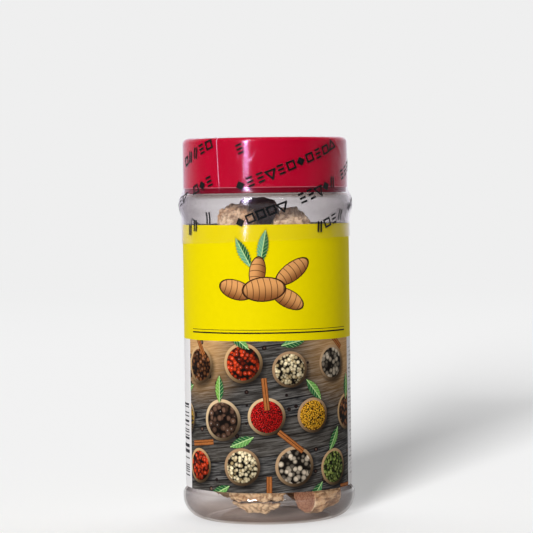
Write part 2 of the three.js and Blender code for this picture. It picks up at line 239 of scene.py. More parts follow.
# Softboxes: angle round the jar, angle over the floor, distance, width, height, power and colour
SOFTBOXES = {
    "key_softbox": (-26, 38, 3.0, 0.45, 0.45, 78, (1, 1, 1)),
    "key_strip": (-26, 14, 3.0, 0.4, 1.6, 22, (1, 1, 1)),
    "small_softbox": (24, 38, 3.0, 0.22, 0.22, 2.0, (1, 1, 1)),
    "overhead_softbox": (0, 89, 2.4, 2.0, 2.0, 14, (1, 1, 1)),
}
STREAK_STRIP = (-26, 16, 3.0, 0.18, 1.4, 250, (0.72, 0.52, 1.0))
BASE_SOFTBOX = (2, 7, 3.0, 0.5, 0.5, 62, (1.0, 0.86, 0.68))
LOW_SUN = (-15.5, 10.5, 15, 10.1)  # angle round the jar, angle over the floor, spread and strength


# Helpers for node trees

def ink(red, green, blue):
    """Colour as it looks on screen, from 0 to 255, for a shader's socket."""
    def linear(value):
        value /= 255
        return value / 12.92 if value <= 0.04045 else ((value + 0.055) / 1.055) ** 2.4
    return (linear(red), linear(green), linear(blue), 1.0)


class Wires:
    """Adds nodes to one tree and joins them up."""

    def __init__(self, tree):
        self.tree = tree

    def feed(self, socket, value):
        if isinstance(value, bpy.types.NodeSocket):
            self.tree.links.new(value, socket)
        else:
            socket.default_value = value

    def add(self, kind, feeds=None, **settings):
        node = self.tree.nodes.new(kind)
        for name, value in settings.items():
            setattr(node, name, value)
        for key, value in (feeds or {}).items():
            self.feed(node.inputs[key], value)
        return node

    def out(self, kind, feeds=None, **settings):
        """First output of a new node."""
        return self.add(kind, feeds, **settings).outputs[0]

    def maths(self, operation, *values):
        return self.out("ShaderNodeMath", dict(enumerate(values)), operation=operation)

    def times(self, *values):
        return reduce(lambda first, second: self.maths("MULTIPLY", first, second), values)

    def times_plus(self, value, factor, more):
        return self.maths("MULTIPLY_ADD", value, factor, more)

    def plus(self, first, second):
        return self.maths("ADD", first, second)

    def minus(self, first, second):
        return self.maths("SUBTRACT", first, second)

    def over(self, first, second):
        return self.maths("DIVIDE", first, second)

    def most(self, *values):
        return reduce(lambda first, second: self.maths("MAXIMUM", first, second), values)

    def vector(self, operation, *values):
        node = self.add("ShaderNodeVectorMath", dict(enumerate(values)), operation=operation)
        number = operation in ("DISTANCE", "LENGTH", "DOT_PRODUCT")
        return node.outputs["Value" if number else "Vector"]

    def scaled(self, vector, factor):
        node = self.add("ShaderNodeVectorMath", {0: vector, "Scale": factor}, operation="SCALE")
        return node.outputs["Vector"]

    def object_place(self):
        return self.add("ShaderNodeTexCoord").outputs["Object"]

    def painted(self, feeds):
        return self.out("ShaderNodeBsdfPrincipled", feeds)

    def layers(self, share, under, over):
        """Shader that shows a share of one over another."""
        return self.out("ShaderNodeMixShader", {0: share, 1: under, 2: over})

    def split(self, vector):
        return self.add("ShaderNodeSeparateXYZ", {0: vector}).outputs

    def joined(self, x, y, z):
        return self.out("ShaderNodeCombineXYZ", {0: x, 1: y, 2: z})

    def step(self, value, low, high):
        """Soft step from 0 at low to 1 at high."""
        feeds = {"Value": value, "From Min": low, "From Max": high}
        return self.out("ShaderNodeMapRange", feeds, interpolation_type="SMOOTHSTEP")

    def within(self, value, low, high, soft):
        """1 between two edges and 0 outside them."""
        rise = self.step(value, low - soft, low + soft)
        fall = self.step(value, high + soft, high - soft)
        return self.times(rise, fall)

    def blend(self, share, first, second, way="MIX"):
        feeds = {0: share, 6: first, 7: second}
        return self.add("ShaderNodeMix", feeds, data_type="RGBA", blend_type=way).outputs[2]

    def noise(self, place, scale, detail=3.0, roughness=0.55):
        feeds = {"Vector": place, "Scale": scale, "Detail": detail, "Roughness": roughness}
        return self.out("ShaderNodeTexNoise", feeds)

    def cells(self, place, scale):
        """Distance to the middle of the nearest cell, and that cell's own random number."""
        node = self.add("ShaderNodeTexVoronoi", {"Vector": place, "Scale": scale})
        return node.outputs["Distance"], self.split(node.outputs["Color"])[0]

    def chance(self, number):
        """Random number that belongs to a whole number."""
        return self.add("ShaderNodeTexWhiteNoise", {"W": number}, noise_dimensions="1D").outputs["Value"]

    def mirror(self, head_on):
        """Share of light that a clear skin throws back: little head on, and all of it edge on."""
        facing = self.add("ShaderNodeLayerWeight", {"Blend": 0.5}).outputs["Facing"]
        return self.times_plus(self.maths("POWER", facing, 5.0), 1.0 - head_on, head_on)

    def together(self, *parts):
        """Several pieces of geometry as one."""
        node = self.add("GeometryNodeJoinGeometry")
        for part in parts:
            self.feed(node.inputs[0], part)
        return node.outputs[0]

    def bump(self, height, strength, distance):
        feeds = {"Height": height, "Strength": strength, "Distance": distance}
        return self.out("ShaderNodeBump", feeds)


def finish(recipe):
    """Makes a material from the function that wires up its shader, and names it after that function."""
    def made():
        material = bpy.data.materials.new(recipe.__name__)
        material.use_nodes = True
        material.node_tree.nodes.clear()
        wires = Wires(material.node_tree)
        wires.add("ShaderNodeOutputMaterial", {"Surface": recipe(wires)})
        return material
    return made


def new_tree(name, shape, sizes, others):
    """Geometry Nodes tree that works on a shape, with its wires and its entry and exit sockets."""
    tree = bpy.data.node_groups.new(name, "GeometryNodeTree")
    sockets = {shape: "Geometry"} | dict.fromkeys(sizes, "Float") | others
    for socket_name, kind in sockets.items():
        tree.interface.new_socket(socket_name, in_out="INPUT", socket_type=f"NodeSocket{kind}")
    tree.interface.new_socket("Made", in_out="OUTPUT", socket_type="NodeSocketGeometry")
    wires = Wires(tree)
    return tree, wires, wires.add("NodeGroupInput").outputs, wires.add("NodeGroupOutput").inputs


# Helpers for meshes

def soft_step(t):
    t = min(max(t, 0.0), 1.0)
    return t * t * (3 - 2 * t)


def mix(first, second, share):
    return first + (second - first) * share


def evenly(steps):
    """Even shares from 0 to 1, both included."""
    return [i / steps for i in range(steps + 1)]


def arc(centre_radius, centre_height, radius, from_deg, to_deg, steps):
    """Points of an arc in the outline of a turned piece, both ends included."""
    angles = [math.radians(mix(from_deg, to_deg, t)) for t in evenly(steps)]
    return [(centre_radius + radius * math.cos(a), centre_height + radius * math.sin(a)) for a in angles]


def wall_step(from_radius, from_height, to_radius, to_height, steps):
    """Soft step of a wall from one radius to another, both ends included."""
    return [(mix(from_radius, to_radius, soft_step(t)), mix(from_height, to_height, t))
            for t in evenly(steps)]


def filled_in(outline, spacing):
    """Outline with points added so that none are further apart than the spacing."""
    points = [outline[0]]
    for start, end in zip(outline, outline[1:]):
        count = max(1, math.ceil(math.dist(start, end) / spacing))
        points += [(mix(start[0], end[0], t), mix(start[1], end[1], t)) for t in evenly(count)[1:]]
    return points


def round_place(radius, angle, height):
    """Point at an angle in radians from the front, in metres."""
    return Vector((radius * math.sin(angle), -radius * math.cos(angle), height)) * MM


def turned_mesh(name, rows, sides, shaped=None, closed=False):
    """Solid of revolution from its outline; shaped(row, angle, radius, height) may move each point."""
    mesh = bmesh.new()
    rings = []
    for number, (radius, height) in enumerate(rows):
        if radius < 1e-6:
            rings.append([mesh.verts.new((0, 0, height * MM))] * sides)
            continue
        ring = []
        for side in range(sides):
            angle = 2 * math.pi * side / sides
            place = shaped(number, angle, radius, height) if shaped else (radius, height)
            ring.append(mesh.verts.new(round_place(place[0], angle, place[1])))
        rings.append(ring)
    if closed:
        rings.append(rings[0])
    for lower, upper in zip(rings, rings[1:]):
        for side in range(sides):
            after = (side + 1) % sides
            corners = [lower[side], lower[after], upper[after], upper[side]]
            mesh.faces.new(list(dict.fromkeys(corners)))
    return finished_mesh(name, mesh)


def finished_mesh(name, mesh, sharp_deg=40):
    data = bpy.data.meshes.new(name)
    mesh.to_mesh(data)
    mesh.free()
    data.shade_smooth()
    data.set_sharp_from_angle(angle=math.radians(sharp_deg))
    return data


def in_scene(name, data):
    thing = bpy.data.objects.new(name, data)
    bpy.context.scene.collection.objects.link(thing)
    return thing


def placed(name, data, *materials):
    """Object at the origin that holds a mesh and its materials."""
    piece = in_scene(name, data)
    for material in materials:
        data.materials.append(material)
    return piece


def belongs(piece, slot, *nodes):
    """The piece rides on the jar's one body and stands for its solids."""
    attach(piece, "root")
    if nodes:
        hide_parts(*nodes)


def settle(piece):
    """Keeps what the piece's modifiers make of it as a plain mesh."""
    graph = bpy.context.evaluated_depsgraph_get()
    made = bpy.data.meshes.new_from_object(
        piece.evaluated_get(graph), preserve_all_data_layers=True, depsgraph=graph)
    old = piece.data
    piece.modifiers.clear()
    piece.data = made
    bpy.data.meshes.remove(old)


def grown(piece, tree, sizes, **others):
    """Runs a Geometry Nodes tree on the piece, with sizes in millimetres, and keeps the result."""
    values = {name: size * MM for name, size in sizes.items()} | others
    modifier = piece.modifiers.new(tree.name, "NODES")
    modifier.node_group = tree
    for item in tree.interface.items_tree:
        key = item.name.lower().replace(" ", "_")
        if item.in_out == "INPUT" and key in values:
            modifier[item.identifier] = values[key]
    settle(piece)


# Materials

@finish
def clear_plastic(wires):
    """Clear PET, darker where an upright wall is looked at edge on and at the right as painted shade, and
    warmer at the base.

    The edge of the base bulge is polished, the step over it is dull, and inner faces don't mirror.
    """
    facing = wires.add("ShaderNodeLayerWeight", {"Blend": 0.35}).outputs["Facing"]
    place = wires.object_place()
    ripple = wires.noise(place, 90.0, 2.0)
    normal = wires.bump(ripple, 0.008, 0.0006)
    x, _, height = wires.split(place)
    geometry = wires.add("ShaderNodeNewGeometry").outputs
    level = wires.maths("ABSOLUTE", wires.split(geometry["Normal"])[2])
    level = wires.step(level, 0.5, 0.9)
    tint = wires.blend(wires.step(facing, 0.05, 0.9), (0.94, 0.93, 0.93, 1), (0.6, 0.57, 0.575, 1))
    tint = wires.blend(level, tint, (0.73, 0.69, 0.67, 1))
    warm = wires.step(height, PANEL_BOTTOM * MM, BASE_BULGE_TOP * MM / 2)
    tint = wires.blend(wires.times(warm, 0.5), tint, (0.97, 0.93, 0.9, 1), "MULTIPLY")
    # painted shade: the plastic is tinted darker towards +X, the side turned away from the key light
    tint = wires.blend(wires.step(x, -0.01, 0.03), tint, (0.9, 0.895, 0.895, 1), "MULTIPLY")
    shadow_ray = wires.add("ShaderNodeLightPath").outputs["Is Shadow Ray"]
    tint = wires.blend(shadow_ray, tint, (0.98, 0.975, 0.975, 1))
    through = wires.out("ShaderNodeBsdfTransparent", {"Color": tint})
    gloss = wires.painted({"Base Color": (1, 1, 1, 1), "Metallic": 1.0, "Roughness": 0.08, "Normal": normal})
    mirror = wires.times(wires.mirror(0.045), wires.times_plus(level, -0.55, 1.0))
    mirror = wires.times(mirror, wires.minus(1.0, geometry["Backfacing"]))
    dull = wires.within(height, STEP_MIDDLE * MM, DULL_TOP * MM, 0.2 * MM)
    mirror = wires.times(mirror, wires.times_plus(dull, -0.9, 1.0))
    polished = wires.within(height, POLISH_FOOT * MM, STEP_MIDDLE * MM, 0.3 * MM)
    polished = wires.times(polished, wires.step(facing, 0.1, 0.02))
    mirror = wires.times(mirror, wires.times_plus(polished, 2.0, 1.0))
    return wires.layers(mirror, through, gloss)


@finish
def band_film(wires):
    """Clear shrink film with a little haze, stretch lines and the milky line of its seam."""
    place = wires.object_place()
    stretch = wires.noise(wires.vector("MULTIPLY", place, (1.0, 1.0, 0.18)), 700.0, 3.0)
    normal = wires.bump(stretch, 0.12, 0.0003)
    through = wires.out("ShaderNodeBsdfTransparent", {"Color": (0.985, 0.98, 0.985, 1)})
    feeds = {"Base Color": (0.92, 0.85, 1.0, 1), "Metallic": 0.9, "Roughness": 0.13, "Normal": normal}
    gloss = wires.painted(feeds)
    haze = wires.times_plus(stretch, 0.002, wires.mirror(0.011))
    inside = wires.add("ShaderNodeNewGeometry").outputs["Backfacing"]
    haze = wires.times(haze, wires.minus(1.0, inside))
    film = wires.layers(haze, through, gloss)
    x, y, z = wires.split(place)
    angle = wires.maths("ARCTAN2", x, wires.times(y, -1.0))
    below = wires.minus(z, SEAM_TOP * MM)
    drift = wires.times_plus(below, SEAM_SLOPE / MM, SEAM_ANGLE)
    off = wires.maths("ABSOLUTE", wires.minus(angle, wires.maths("RADIANS", drift)))
    seam = wires.times(wires.step(off, 0.005, 0.002), 0.1)
    seam = wires.times(seam, wires.step(z, NECK_FOOT * MM, SEAM_WHOLE * MM))
    milky = wires.out("ShaderNodeBsdfDiffuse", {"Color": (0.85, 0.8, 0.84, 1)})
    return wires.layers(seam, film, milky)


@finish
def cap_red(wires):
    """Satin red moulded plastic with flow marks, a fine grain, a painted highlight on the skirt's bottom
    edge and painted shade on the ring under it.
    """
    place = wires.object_place()
    flow = wires.noise(wires.vector("MULTIPLY", place, (1.0, 1.0, 0.35)), 60.0, 3.0)
    grain = wires.noise(place, 2600.0, 2.0)
    colour = wires.blend(flow, ink(160, 0, 30), ink(183, 0, 43))
    height = wires.split(place)[2]
    # painted highlight: a pale pink band where the skirt's bottom edge catches the light
    lip_highlight = wires.within(height, LIP_HIGHLIGHT_LOW * MM, LIP_HIGHLIGHT_HIGH * MM, 0.08 * MM)
    colour = wires.blend(wires.times(lip_highlight, 0.5), colour, ink(222, 150, 164))
    # painted shade: the recessed ring under the skirt is coloured darker red
    ring_shade = wires.step(height, SKIRT_BOTTOM * MM, (SKIRT_BOTTOM - 0.2) * MM)
    colour = wires.blend(ring_shade, colour, ink(112, 4, 26))
    feeds = {
        "Base Color": colour,
        "Roughness": wires.times_plus(grain, 0.16, 0.3),
        "Normal": wires.bump(grain, 0.15, 0.0001),
        "Specular IOR Level": 0.025,
        "Subsurface Weight": 0.06,
        "Subsurface Radius": (0.004, 0.001, 0.001),
    }
    return wires.painted(feeds)


@finish
def liner_foam(wires):
    """Pressed foam board, pale and dull, with fine open cells."""
    place = wires.object_place()
    distance, tone = wires.cells(place, 1500.0)
    colour = wires.blend(tone, ink(226, 222, 212), ink(240, 238, 232))
    feeds = {"Base Color": colour, "Roughness": 0.8, "Normal": wires.bump(distance, 0.3, 0.0002)}
    return wires.painted(feeds)


@finish
def label_back(wires):
    """Uncoated back and edges of the label, with faint fibres."""
    place = wires.object_place()
    fibres = wires.noise(wires.vector("MULTIPLY", place, (1.0, 1.0, 3.0)), 420.0, 4.0)
    colour = wires.blend(fibres, ink(196, 192, 190), ink(222, 219, 215))
    return wires.painted({"Base Color": colour, "Roughness": 0.75})


@finish
def band_ink(wires):
    """Black ink of the band, a little worn."""
    place = wires.object_place()
    wear = wires.step(wires.noise(place, 900.0, 3.0), 0.4, 0.75)
    colour = wires.blend(wear, ink(3, 3, 4), ink(24, 22, 25))
    return wires.painted({"Base Color": colour, "Roughness": 0.5, "Specular IOR Level": 0.15})


@finish
def root_bark(wires):
    """Dried rhizome: tan and brown bark, darker in its wrinkles, with fibrous pinkish cuts, painted shade
    near black in its crack and one root made dark all over as painted shade.
    """
    place = wires.object_place()

    def attribute(name):
        return wires.add("ShaderNodeAttribute", attribute_name=name).outputs["Fac"]
    tone = attribute("tone")
    mottle = wires.times_plus(wires.minus(tone, 0.5), 0.3, wires.noise(place, 150.0, 4.0))
    patches = wires.step(mottle, 0.36, 0.64)
    specks = wires.step(wires.noise(place, 900.0, 3.0), 0.42, 0.7)
    tan = wires.blend(tone, ink(246, 208, 166), ink(255, 232, 198))
    brown = wires.blend(tone, ink(204, 152, 108), ink(230, 184, 138))
    bark = wires.blend(patches, brown, tan)
    bark = wires.blend(wires.times(specks, 0.35), bark, ink(255, 238, 212))
    # painted shade: the root with the lowest tone gets dark bark and a dark cut face
    painted_shade = wires.step(tone, 0.0, -0.9)
    bark = wires.blend(painted_shade, bark, ink(120, 84, 70))
    groove = attribute("groove")
    wrinkled = wires.times(wires.maths("MINIMUM", groove, 1.0), 0.75)
    bark = wires.blend(wrinkled, bark, ink(120, 78, 48))
    # painted shade: where the crack runs the bark is coloured near black
    bark = wires.blend(wires.step(groove, 1.1, 1.7), bark, ink(44, 24, 14))
    fibres = wires.step(wires.noise(place, 1500.0, 2.0), 0.35, 0.65)
    heart = wires.blend(fibres, ink(186, 134, 112), ink(224, 178, 150))
    reach = attribute("reach")
    core_line = wires.within(reach, 0.62, 0.68, 0.03)
    heart = wires.blend(wires.times(core_line, 0.5), heart, ink(150, 100, 80))
    face = wires.blend(wires.step(reach, 0.84, 0.92), heart, ink(255, 240, 214))
    face = wires.blend(painted_shade, face, ink(96, 66, 56))
    colour = wires.blend(attribute("cut"), bark, face)
    height = wires.plus(fibres, wires.noise(place, 500.0, 4.0))
    feeds = {"Base Color": colour, "Roughness": 0.86, "Normal": wires.bump(height, 0.5, 0.0003)}
    return wires.painted(feeds)


# Printed front of the label

# Spices in the bowls: dark and light grain, grains a millimetre and wood of the bowl
SPICES = [
    ((70, 16, 8), (214, 64, 28), 0.7, (196, 158, 112)),
    ((196, 128, 18), (240, 184, 50), 2.4, (168, 136, 104)),
    ((14, 10, 10), (112, 82, 66), 0.5, (208, 180, 142)),
    ((44, 66, 26), (150, 164, 84), 0.9, (186, 152, 112)),
    ((150, 128, 88), (246, 230, 190), 0.8, (160, 128, 96)),
    ((36, 22, 16), (150, 92, 54), 0.66, (196, 160, 116)),
    ((150, 8, 10), (206, 22, 20), 2.8, (204, 172, 130)),
    ((96, 66, 16), (206, 164, 58), 0.85, (202, 170, 128)),
    ((18, 12, 12), (226, 208, 184), 0.55, (176, 144, 110)),
]
BOWL_CELL = (20.4, 20.0)
# Root drawn on the yellow, and its young leaves: middle, half length, half width and turn of each
KNOBS = [
    ((-12.5, 80.5), 7.6, 4.0, -16),
    ((10.5, 87.5), 8.4, 3.8, 34),
    ((8.5, 76.8), 7.4, 3.7, -28),
    ((-3.5, 87.5), 6.4, 3.4, 82),
    ((-1.0, 80.6), 9.0, 5.0, 4),
]
SPRIGS = [
    ((-9.0, 95.0), 6.6, 2.0, 118),
    ((-1.2, 97.2), 7.0, 2.1, 80),
]


def spread(wires, place, size, corner, sway):
    """Staggered cells: offset from each cell's swayed middle, its three chances, column and row."""
    x, y, _ = wires.split(wires.vector("SUBTRACT", place, corner))
    row = wires.maths("FLOOR", wires.over(y, size[1]))
    stagger = wires.times(wires.maths("FLOORED_MODULO", row, 2.0), size[0] / 2)
    moved = wires.plus(x, stagger)
    column = wires.maths("FLOOR", wires.over(moved, size[0]))
    cell = wires.joined(column, row, size[0])
    chances = wires.add("ShaderNodeTexWhiteNoise", {"Vector": cell}, noise_dimensions="3D").outputs["Color"]
    first, second, third = wires.split(chances)
    local_x = wires.minus(moved, wires.times_plus(column, size[0], size[0] / 2))
    local_y = wires.minus(y, wires.times_plus(row, size[1], size[1] / 2))
    swayed = wires.vector("MULTIPLY", wires.vector("SUBTRACT", chances, (0.5, 0.5, 0.5)), (sway, sway, 0))
    offset = wires.vector("SUBTRACT", wires.joined(local_x, local_y, 0.0), swayed)
    return offset, (first, second, third), column, row


def chosen(wires, share, colours):
    """Picks one colour from a list by a share from 0 to 1."""
    node = wires.add("ShaderNodeValToRGB", {"Fac": share})
    ramp = node.color_ramp
    ramp.interpolation = "CONSTANT"
    while len(ramp.elements) < len(colours):
        ramp.elements.new(0.5)
    for number, colour in enumerate(colours):
        ramp.elements[number].position = number / len(colours)
        ramp.elements[number].color = colour
    return node.outputs[0]


def lay_bowls(wires, place, under):
    """Round wooden bowls of spice seen from above, each casting a soft shadow."""
    offset, (first, _, _), column, row = spread(wires, place, BOWL_CELL, (BOWL_LEFT, 0.0, 0.0), 3.0)
    radius = wires.times_plus(first, 1.6, 6.9)
    kind = wires.times_plus(column, 4.0, wires.times(row, 7.0))
    kind = wires.maths("FLOORED_MODULO", kind, float(len(SPICES)))
    kind = wires.over(kind, len(SPICES) - 0.001)
    kind = wires.plus(kind, 0.5 / len(SPICES))
    dark, light, wood = (chosen(wires, kind, [ink(*spice[n]) for spice in SPICES]) for n in (0, 1, 3))
    finest = max(spice[2] for spice in SPICES)
    greys = [(spice[2] / finest,) * 3 + (1,) for spice in SPICES]
    grain = wires.times(chosen(wires, kind, greys), finest)
    reach = wires.over(wires.vector("LENGTH", offset), radius)
    cast = wires.vector("ADD", offset, (-0.9, 1.1, 0))
    fallen = wires.over(wires.vector("LENGTH", cast), radius)
    shade = wires.times(wires.step(fallen, 1.2, 0.85), 0.75)
    under = wires.blend(shade, under, (0.006, 0.005, 0.005, 1))
    tilt = wires.over(wires.vector("DOT_PRODUCT", offset, (-0.6, 0.8, 0)), radius)
    distance, tone = wires.cells(place, grain)
    grains = wires.blend(tone, dark, light)
    grains = wires.blend(wires.step(distance, 0.3, 0.75), grains, (0.008, 0.006, 0.005, 1))
    glint = wires.times(wires.step(distance, 0.2, 0.02), 0.3)
    grains = wires.blend(glint, grains, (1, 0.97, 0.9, 1))
    lit = wires.times_plus(tilt, 0.4, 0.9)
    grains = wires.blend(1.0, grains, wires.joined(lit, lit, lit), "MULTIPLY")
    rim = wires.blend(wires.step(tilt, 1.0, -1.1), wood, (0.03, 0.018, 0.01, 1))
    bowl = wires.blend(wires.step(reach, 0.86, 0.82), rim, grains)
    return wires.blend(wires.step(reach, 1.0, 0.97), under, bowl)


def turned_by(wires, offset, turn):
    """Where an offset lies along and across a thing that is turned by an angle."""
    node = wires.add("ShaderNodeVectorRotate", {"Vector": offset, "Angle": turn}, rotation_type="Z_AXIS")
    along, across, _ = wires.split(node.outputs[0])
    return along, across


def lay_leaf(wires, under, along, across, half_length, half_width, light, shown=1.0):
    """Green leaf with a toothed edge, pale veins and a shadow."""
    share = wires.over(along, half_length)
    teeth = wires.times_plus(wires.maths("SINE", wires.times(along, 5.2)), 0.09, 1.0)
    round_off = wires.minus(1.0, wires.times(share, share))
    half = wires.times(half_width, round_off, teeth)
    side = wires.maths("ABSOLUTE", across)
    inside = wires.step(wires.minus(side, half), 0.08, -0.08)
    rib = wires.step(side, 0.24, 0.08)
    slanted = wires.times(wires.minus(along, side), 4.2)
    veins = wires.times(wires.step(wires.maths("SINE", slanted), 0.75, 0.98), 0.55)
    green = wires.blend(wires.step(across, -0.4, 0.4), ink(34, 84, 48), light)
    green = wires.blend(wires.most(rib, veins), green, ink(176, 206, 140))
    shade = wires.step(wires.minus(side, half), 0.9, -0.4)
    under = wires.blend(wires.times(shade, 0.55, shown), under, (0.006, 0.008, 0.006, 1))
    return wires.blend(wires.times(inside, shown), under, green)


def lay_quill(wires, under, along, across, half_length, half_width, shown):
    """Quill of rolled bark."""
    share = wires.over(across, half_width)
    side = wires.maths("ABSOLUTE", share)
    length = wires.over(wires.maths("ABSOLUTE", along), half_length)
    lines = wires.noise(wires.joined(wires.times(along, 0.25), across, 0.0), 3.0)
    rolled = wires.blend(lines, ink(96, 48, 22), ink(196, 122, 66))
    seam = wires.step(wires.maths("ABSOLUTE", wires.minus(share, 0.1)), 0.16, 0.04)
    rolled = wires.blend(wires.most(wires.step(side, 0.55, 1.05), seam), rolled, ink(44, 20, 10))
    inside = wires.times(wires.step(side, 1.0, 0.94), wires.step(length, 1.0, 0.985), shown)
    return wires.blend(inside, under, rolled)


def lay_sprigs(wires, place, under):
    """Leaves, and here and there a quill, in the gaps between the bowls."""
    corner = (BOWL_LEFT - BOWL_CELL[0] / 2, -BOWL_CELL[1] / 2, 0.0)
    offset, (first, second, third), _, _ = spread(wires, place, BOWL_CELL, corner, 2.0)
    turn = wires.times(first, 2 * math.pi)
    along, across = turned_by(wires, offset, turn)
    quilled = wires.step(third, 0.7, 0.71)
    under = lay_quill(wires, under, along, across, 6.4, 1.2, quilled)
    leafed = wires.minus(1.0, quilled)
    light = wires.blend(second, ink(62, 124, 84), ink(108, 156, 66))
    return lay_leaf(wires, under, along, across, 5.4, 1.9, light, leafed)


def planks(wires, place):
    """Weathered dark planks, with warm light on two corners and loose peppercorns."""
    along, across = turned_by(wires, place, math.radians(-7))
    board = wires.over(across, 7.2)
    tone = wires.chance(wires.maths("FLOOR", board))
    shifted = wires.times_plus(tone, 40.0, along)
    grain = wires.noise(wires.joined(wires.times(shifted, 0.07), across, tone), 1.6, 5.0, 0.65)
    wood = wires.blend(wires.step(grain, 0.34, 0.82), ink(12, 14, 18), ink(124, 121, 118))
    wood = wires.blend(wires.times(tone, 0.4), wood, ink(70, 62, 52))
    part = wires.maths("FRACT", board)
    seam = wires.plus(wires.step(part, 0.05, 0.015), wires.step(part, 0.96, 0.99))
    wood = wires.blend(wires.times(seam, 0.85), wood, (0.004, 0.003, 0.003, 1))
    for corner, reach in (((-32, 60, 0), 30.0), ((40, 62, 0), 36.0)):
        glow = wires.step(wires.vector("DISTANCE", place, corner), reach, 2.0)
        warm = wires.blend(grain, ink(126, 72, 28), ink(255, 206, 140))
        wood = wires.blend(wires.times(glow, 0.8), wood, warm)
    distance, pick = wires.cells(place, 0.24)
    corns = wires.times(wires.step(distance, 0.27, 0.24), wires.step(pick, 0.66, 0.67))
    corn = wires.blend(wires.step(distance, 0.2, 0.03), ink(26, 18, 18), ink(120, 92, 80))
    return wires.blend(corns, wood, corn)


def side_strips(wires, place):
    """Pale sides of the label with a block of plain bars and ruled lines."""
    x, y, _ = wires.split(place)
    fibres = wires.noise(place, 1.2, 4.0)
    paper = wires.blend(fibres, ink(206, 203, 204), ink(226, 224, 224))
    dark = ink(40, 38, 44)

    def printed(left, right, low, high, *shares):
        """Share of ink in a box of the label."""
        across = wires.within(x, left, right, INK_EDGE)
        return wires.times(across, wires.within(y, low, high, INK_EDGE), *shares)
    bar = wires.step(wires.chance(wires.maths("FLOOR", wires.over(y, 0.46))), 0.5, 0.52)
    block = printed(-60, -41.4, 4.5, 34, bar)
    paper = wires.blend(block, paper, dark)
    line = wires.step(wires.maths("FRACT", wires.over(y, 1.7)), 0.62, 0.68)
    breaks = wires.step(wires.noise(wires.joined(wires.times(x, 0.6), y, 0.0), 1.0), 0.5, 0.54)
    fine = printed(43.5, 70, 4, 56, line, breaks)
    paper = wires.blend(wires.times(fine, 0.7), paper, dark)
    ruled = wires.step(wires.maths("FRACT", wires.over(y, 4.2)), 0.9, 0.93)
    table = printed(-96, -66, 5, 56, ruled)
    return wires.blend(table, paper, dark)


def label_place(wires):
    """Place on the label in millimetres from the middle of its lower edge."""
    sheet = wires.out("ShaderNodeUVMap", uv_map="label")
    return wires.vector("MULTIPLY", wires.vector("SUBTRACT", sheet, (0.5, 0, 0)),
                        (LABEL_WIDTH, LABEL_HEIGHT, 1))


def coated(wires, place, colour):
    """Coated paper of the label's front, with faint fibres in its gloss."""
    fibres = wires.noise(place, 2.2, 4.0)
    feeds = {"Base Color": colour, "Roughness": wires.times_plus(fibres, 0.12, 0.36),
             "Specular IOR Level": 0.012, "Normal": wires.bump(fibres, 0.08, 0.0002)}
    return wires.painted(feeds)


@finish
def label_picture(wires):
    """Lower part of the label's front: bowls of spice on planks, with pale strips at the sides."""
    place = label_place(wires)
    x = wires.split(place)[0]
    shown = wires.within(x, PICTURE_LEFT, PICTURE_RIGHT, INK_EDGE)
    scene = lay_sprigs(wires, place, lay_bowls(wires, place, planks(wires, place)))
    return coated(wires, place, wires.blend(shown, side_strips(wires, place), scene))


def lay_knob(wires, under, along, across, half_length, half_width):
    """Knob of a drawn root, with a dark outline and scar rings."""
    length = wires.over(along, half_length)
    width = wires.over(across, half_width)
    reach = wires.vector("LENGTH", wires.joined(length, width, 0.0))
    bowed = wires.times_plus(wires.times(width, width), 0.9, along)
    rings = wires.step(wires.maths("SINE", wires.times(bowed, 2.6)), 0.86, 0.97)
    dark = wires.most(wires.step(reach, 0.86, 0.92), wires.times(rings, 0.8))
    shade = wires.blend(wires.step(width, 0.5, -0.9), ink(206, 146, 88), ink(120, 70, 34))
    drawn = wires.blend(dark, shade, ink(52, 30, 18))
    return wires.blend(wires.step(reach, 1.0, 0.97), under, drawn)


@finish
def label_yellow(wires):
    """Upper part of the label's front: yellow, with a drawn root and a thin double rule."""
    place = label_place(wires)
    x, y, _ = wires.split(place)
    colour = wires.blend(wires.noise(place, 0.35, 3.0), ink(212, 193, 0), ink(219, 200, 1))
    field = wires.within(x, PICTURE_LEFT + 3, PICTURE_RIGHT - 3, INK_EDGE)
    for height, half in ((YELLOW_FOOT + 3.2, 0.3), (YELLOW_FOOT + 4.4, 0.12)):
        rule = wires.times(wires.within(y, height - half, height + half, INK_EDGE), field)
        colour = wires.blend(rule, colour, ink(28, 24, 20))
    for things in (SPRIGS, KNOBS):
        for centre, length, width, turn in things:
            offset = wires.vector("SUBTRACT", place, (*centre, 0.0))
            along, across = turned_by(wires, offset, -math.radians(turn))
            if things is SPRIGS:
                colour = lay_leaf(wires, colour, along, across, length, width, ink(96, 152, 120))
            else:
                colour = lay_knob(wires, colour, along, across, length, width)
    return coated(wires, place, colour)


@finish
def studio_paper(wires):
    """Pale paper that melts into the studio's own pale tone away from the jar."""
    place = wires.object_place()
    seen = wires.add("ShaderNodeLightPath").outputs["Is Camera Ray"]
    feeds = {"Base Color": (0.8, 0.8, 0.8, 1), "Roughness": 1.0, "Specular IOR Level": 0.0,
             "Emission Color": (1, 1, 1, 1), "Emission Strength": wires.times(seen, FLOOR_GLOW)}
    paper = wires.painted(feeds)
    glow = wires.out("ShaderNodeEmission", {"Color": (1, 1, 1, 1), "Strength": STUDIO_TONE})
    far = wires.step(wires.vector("LENGTH", place), *FLOOR_FADE)
    melted = wires.times(far, seen)
    return wires.layers(melted, paper, glow)


# Jar, cap and liner

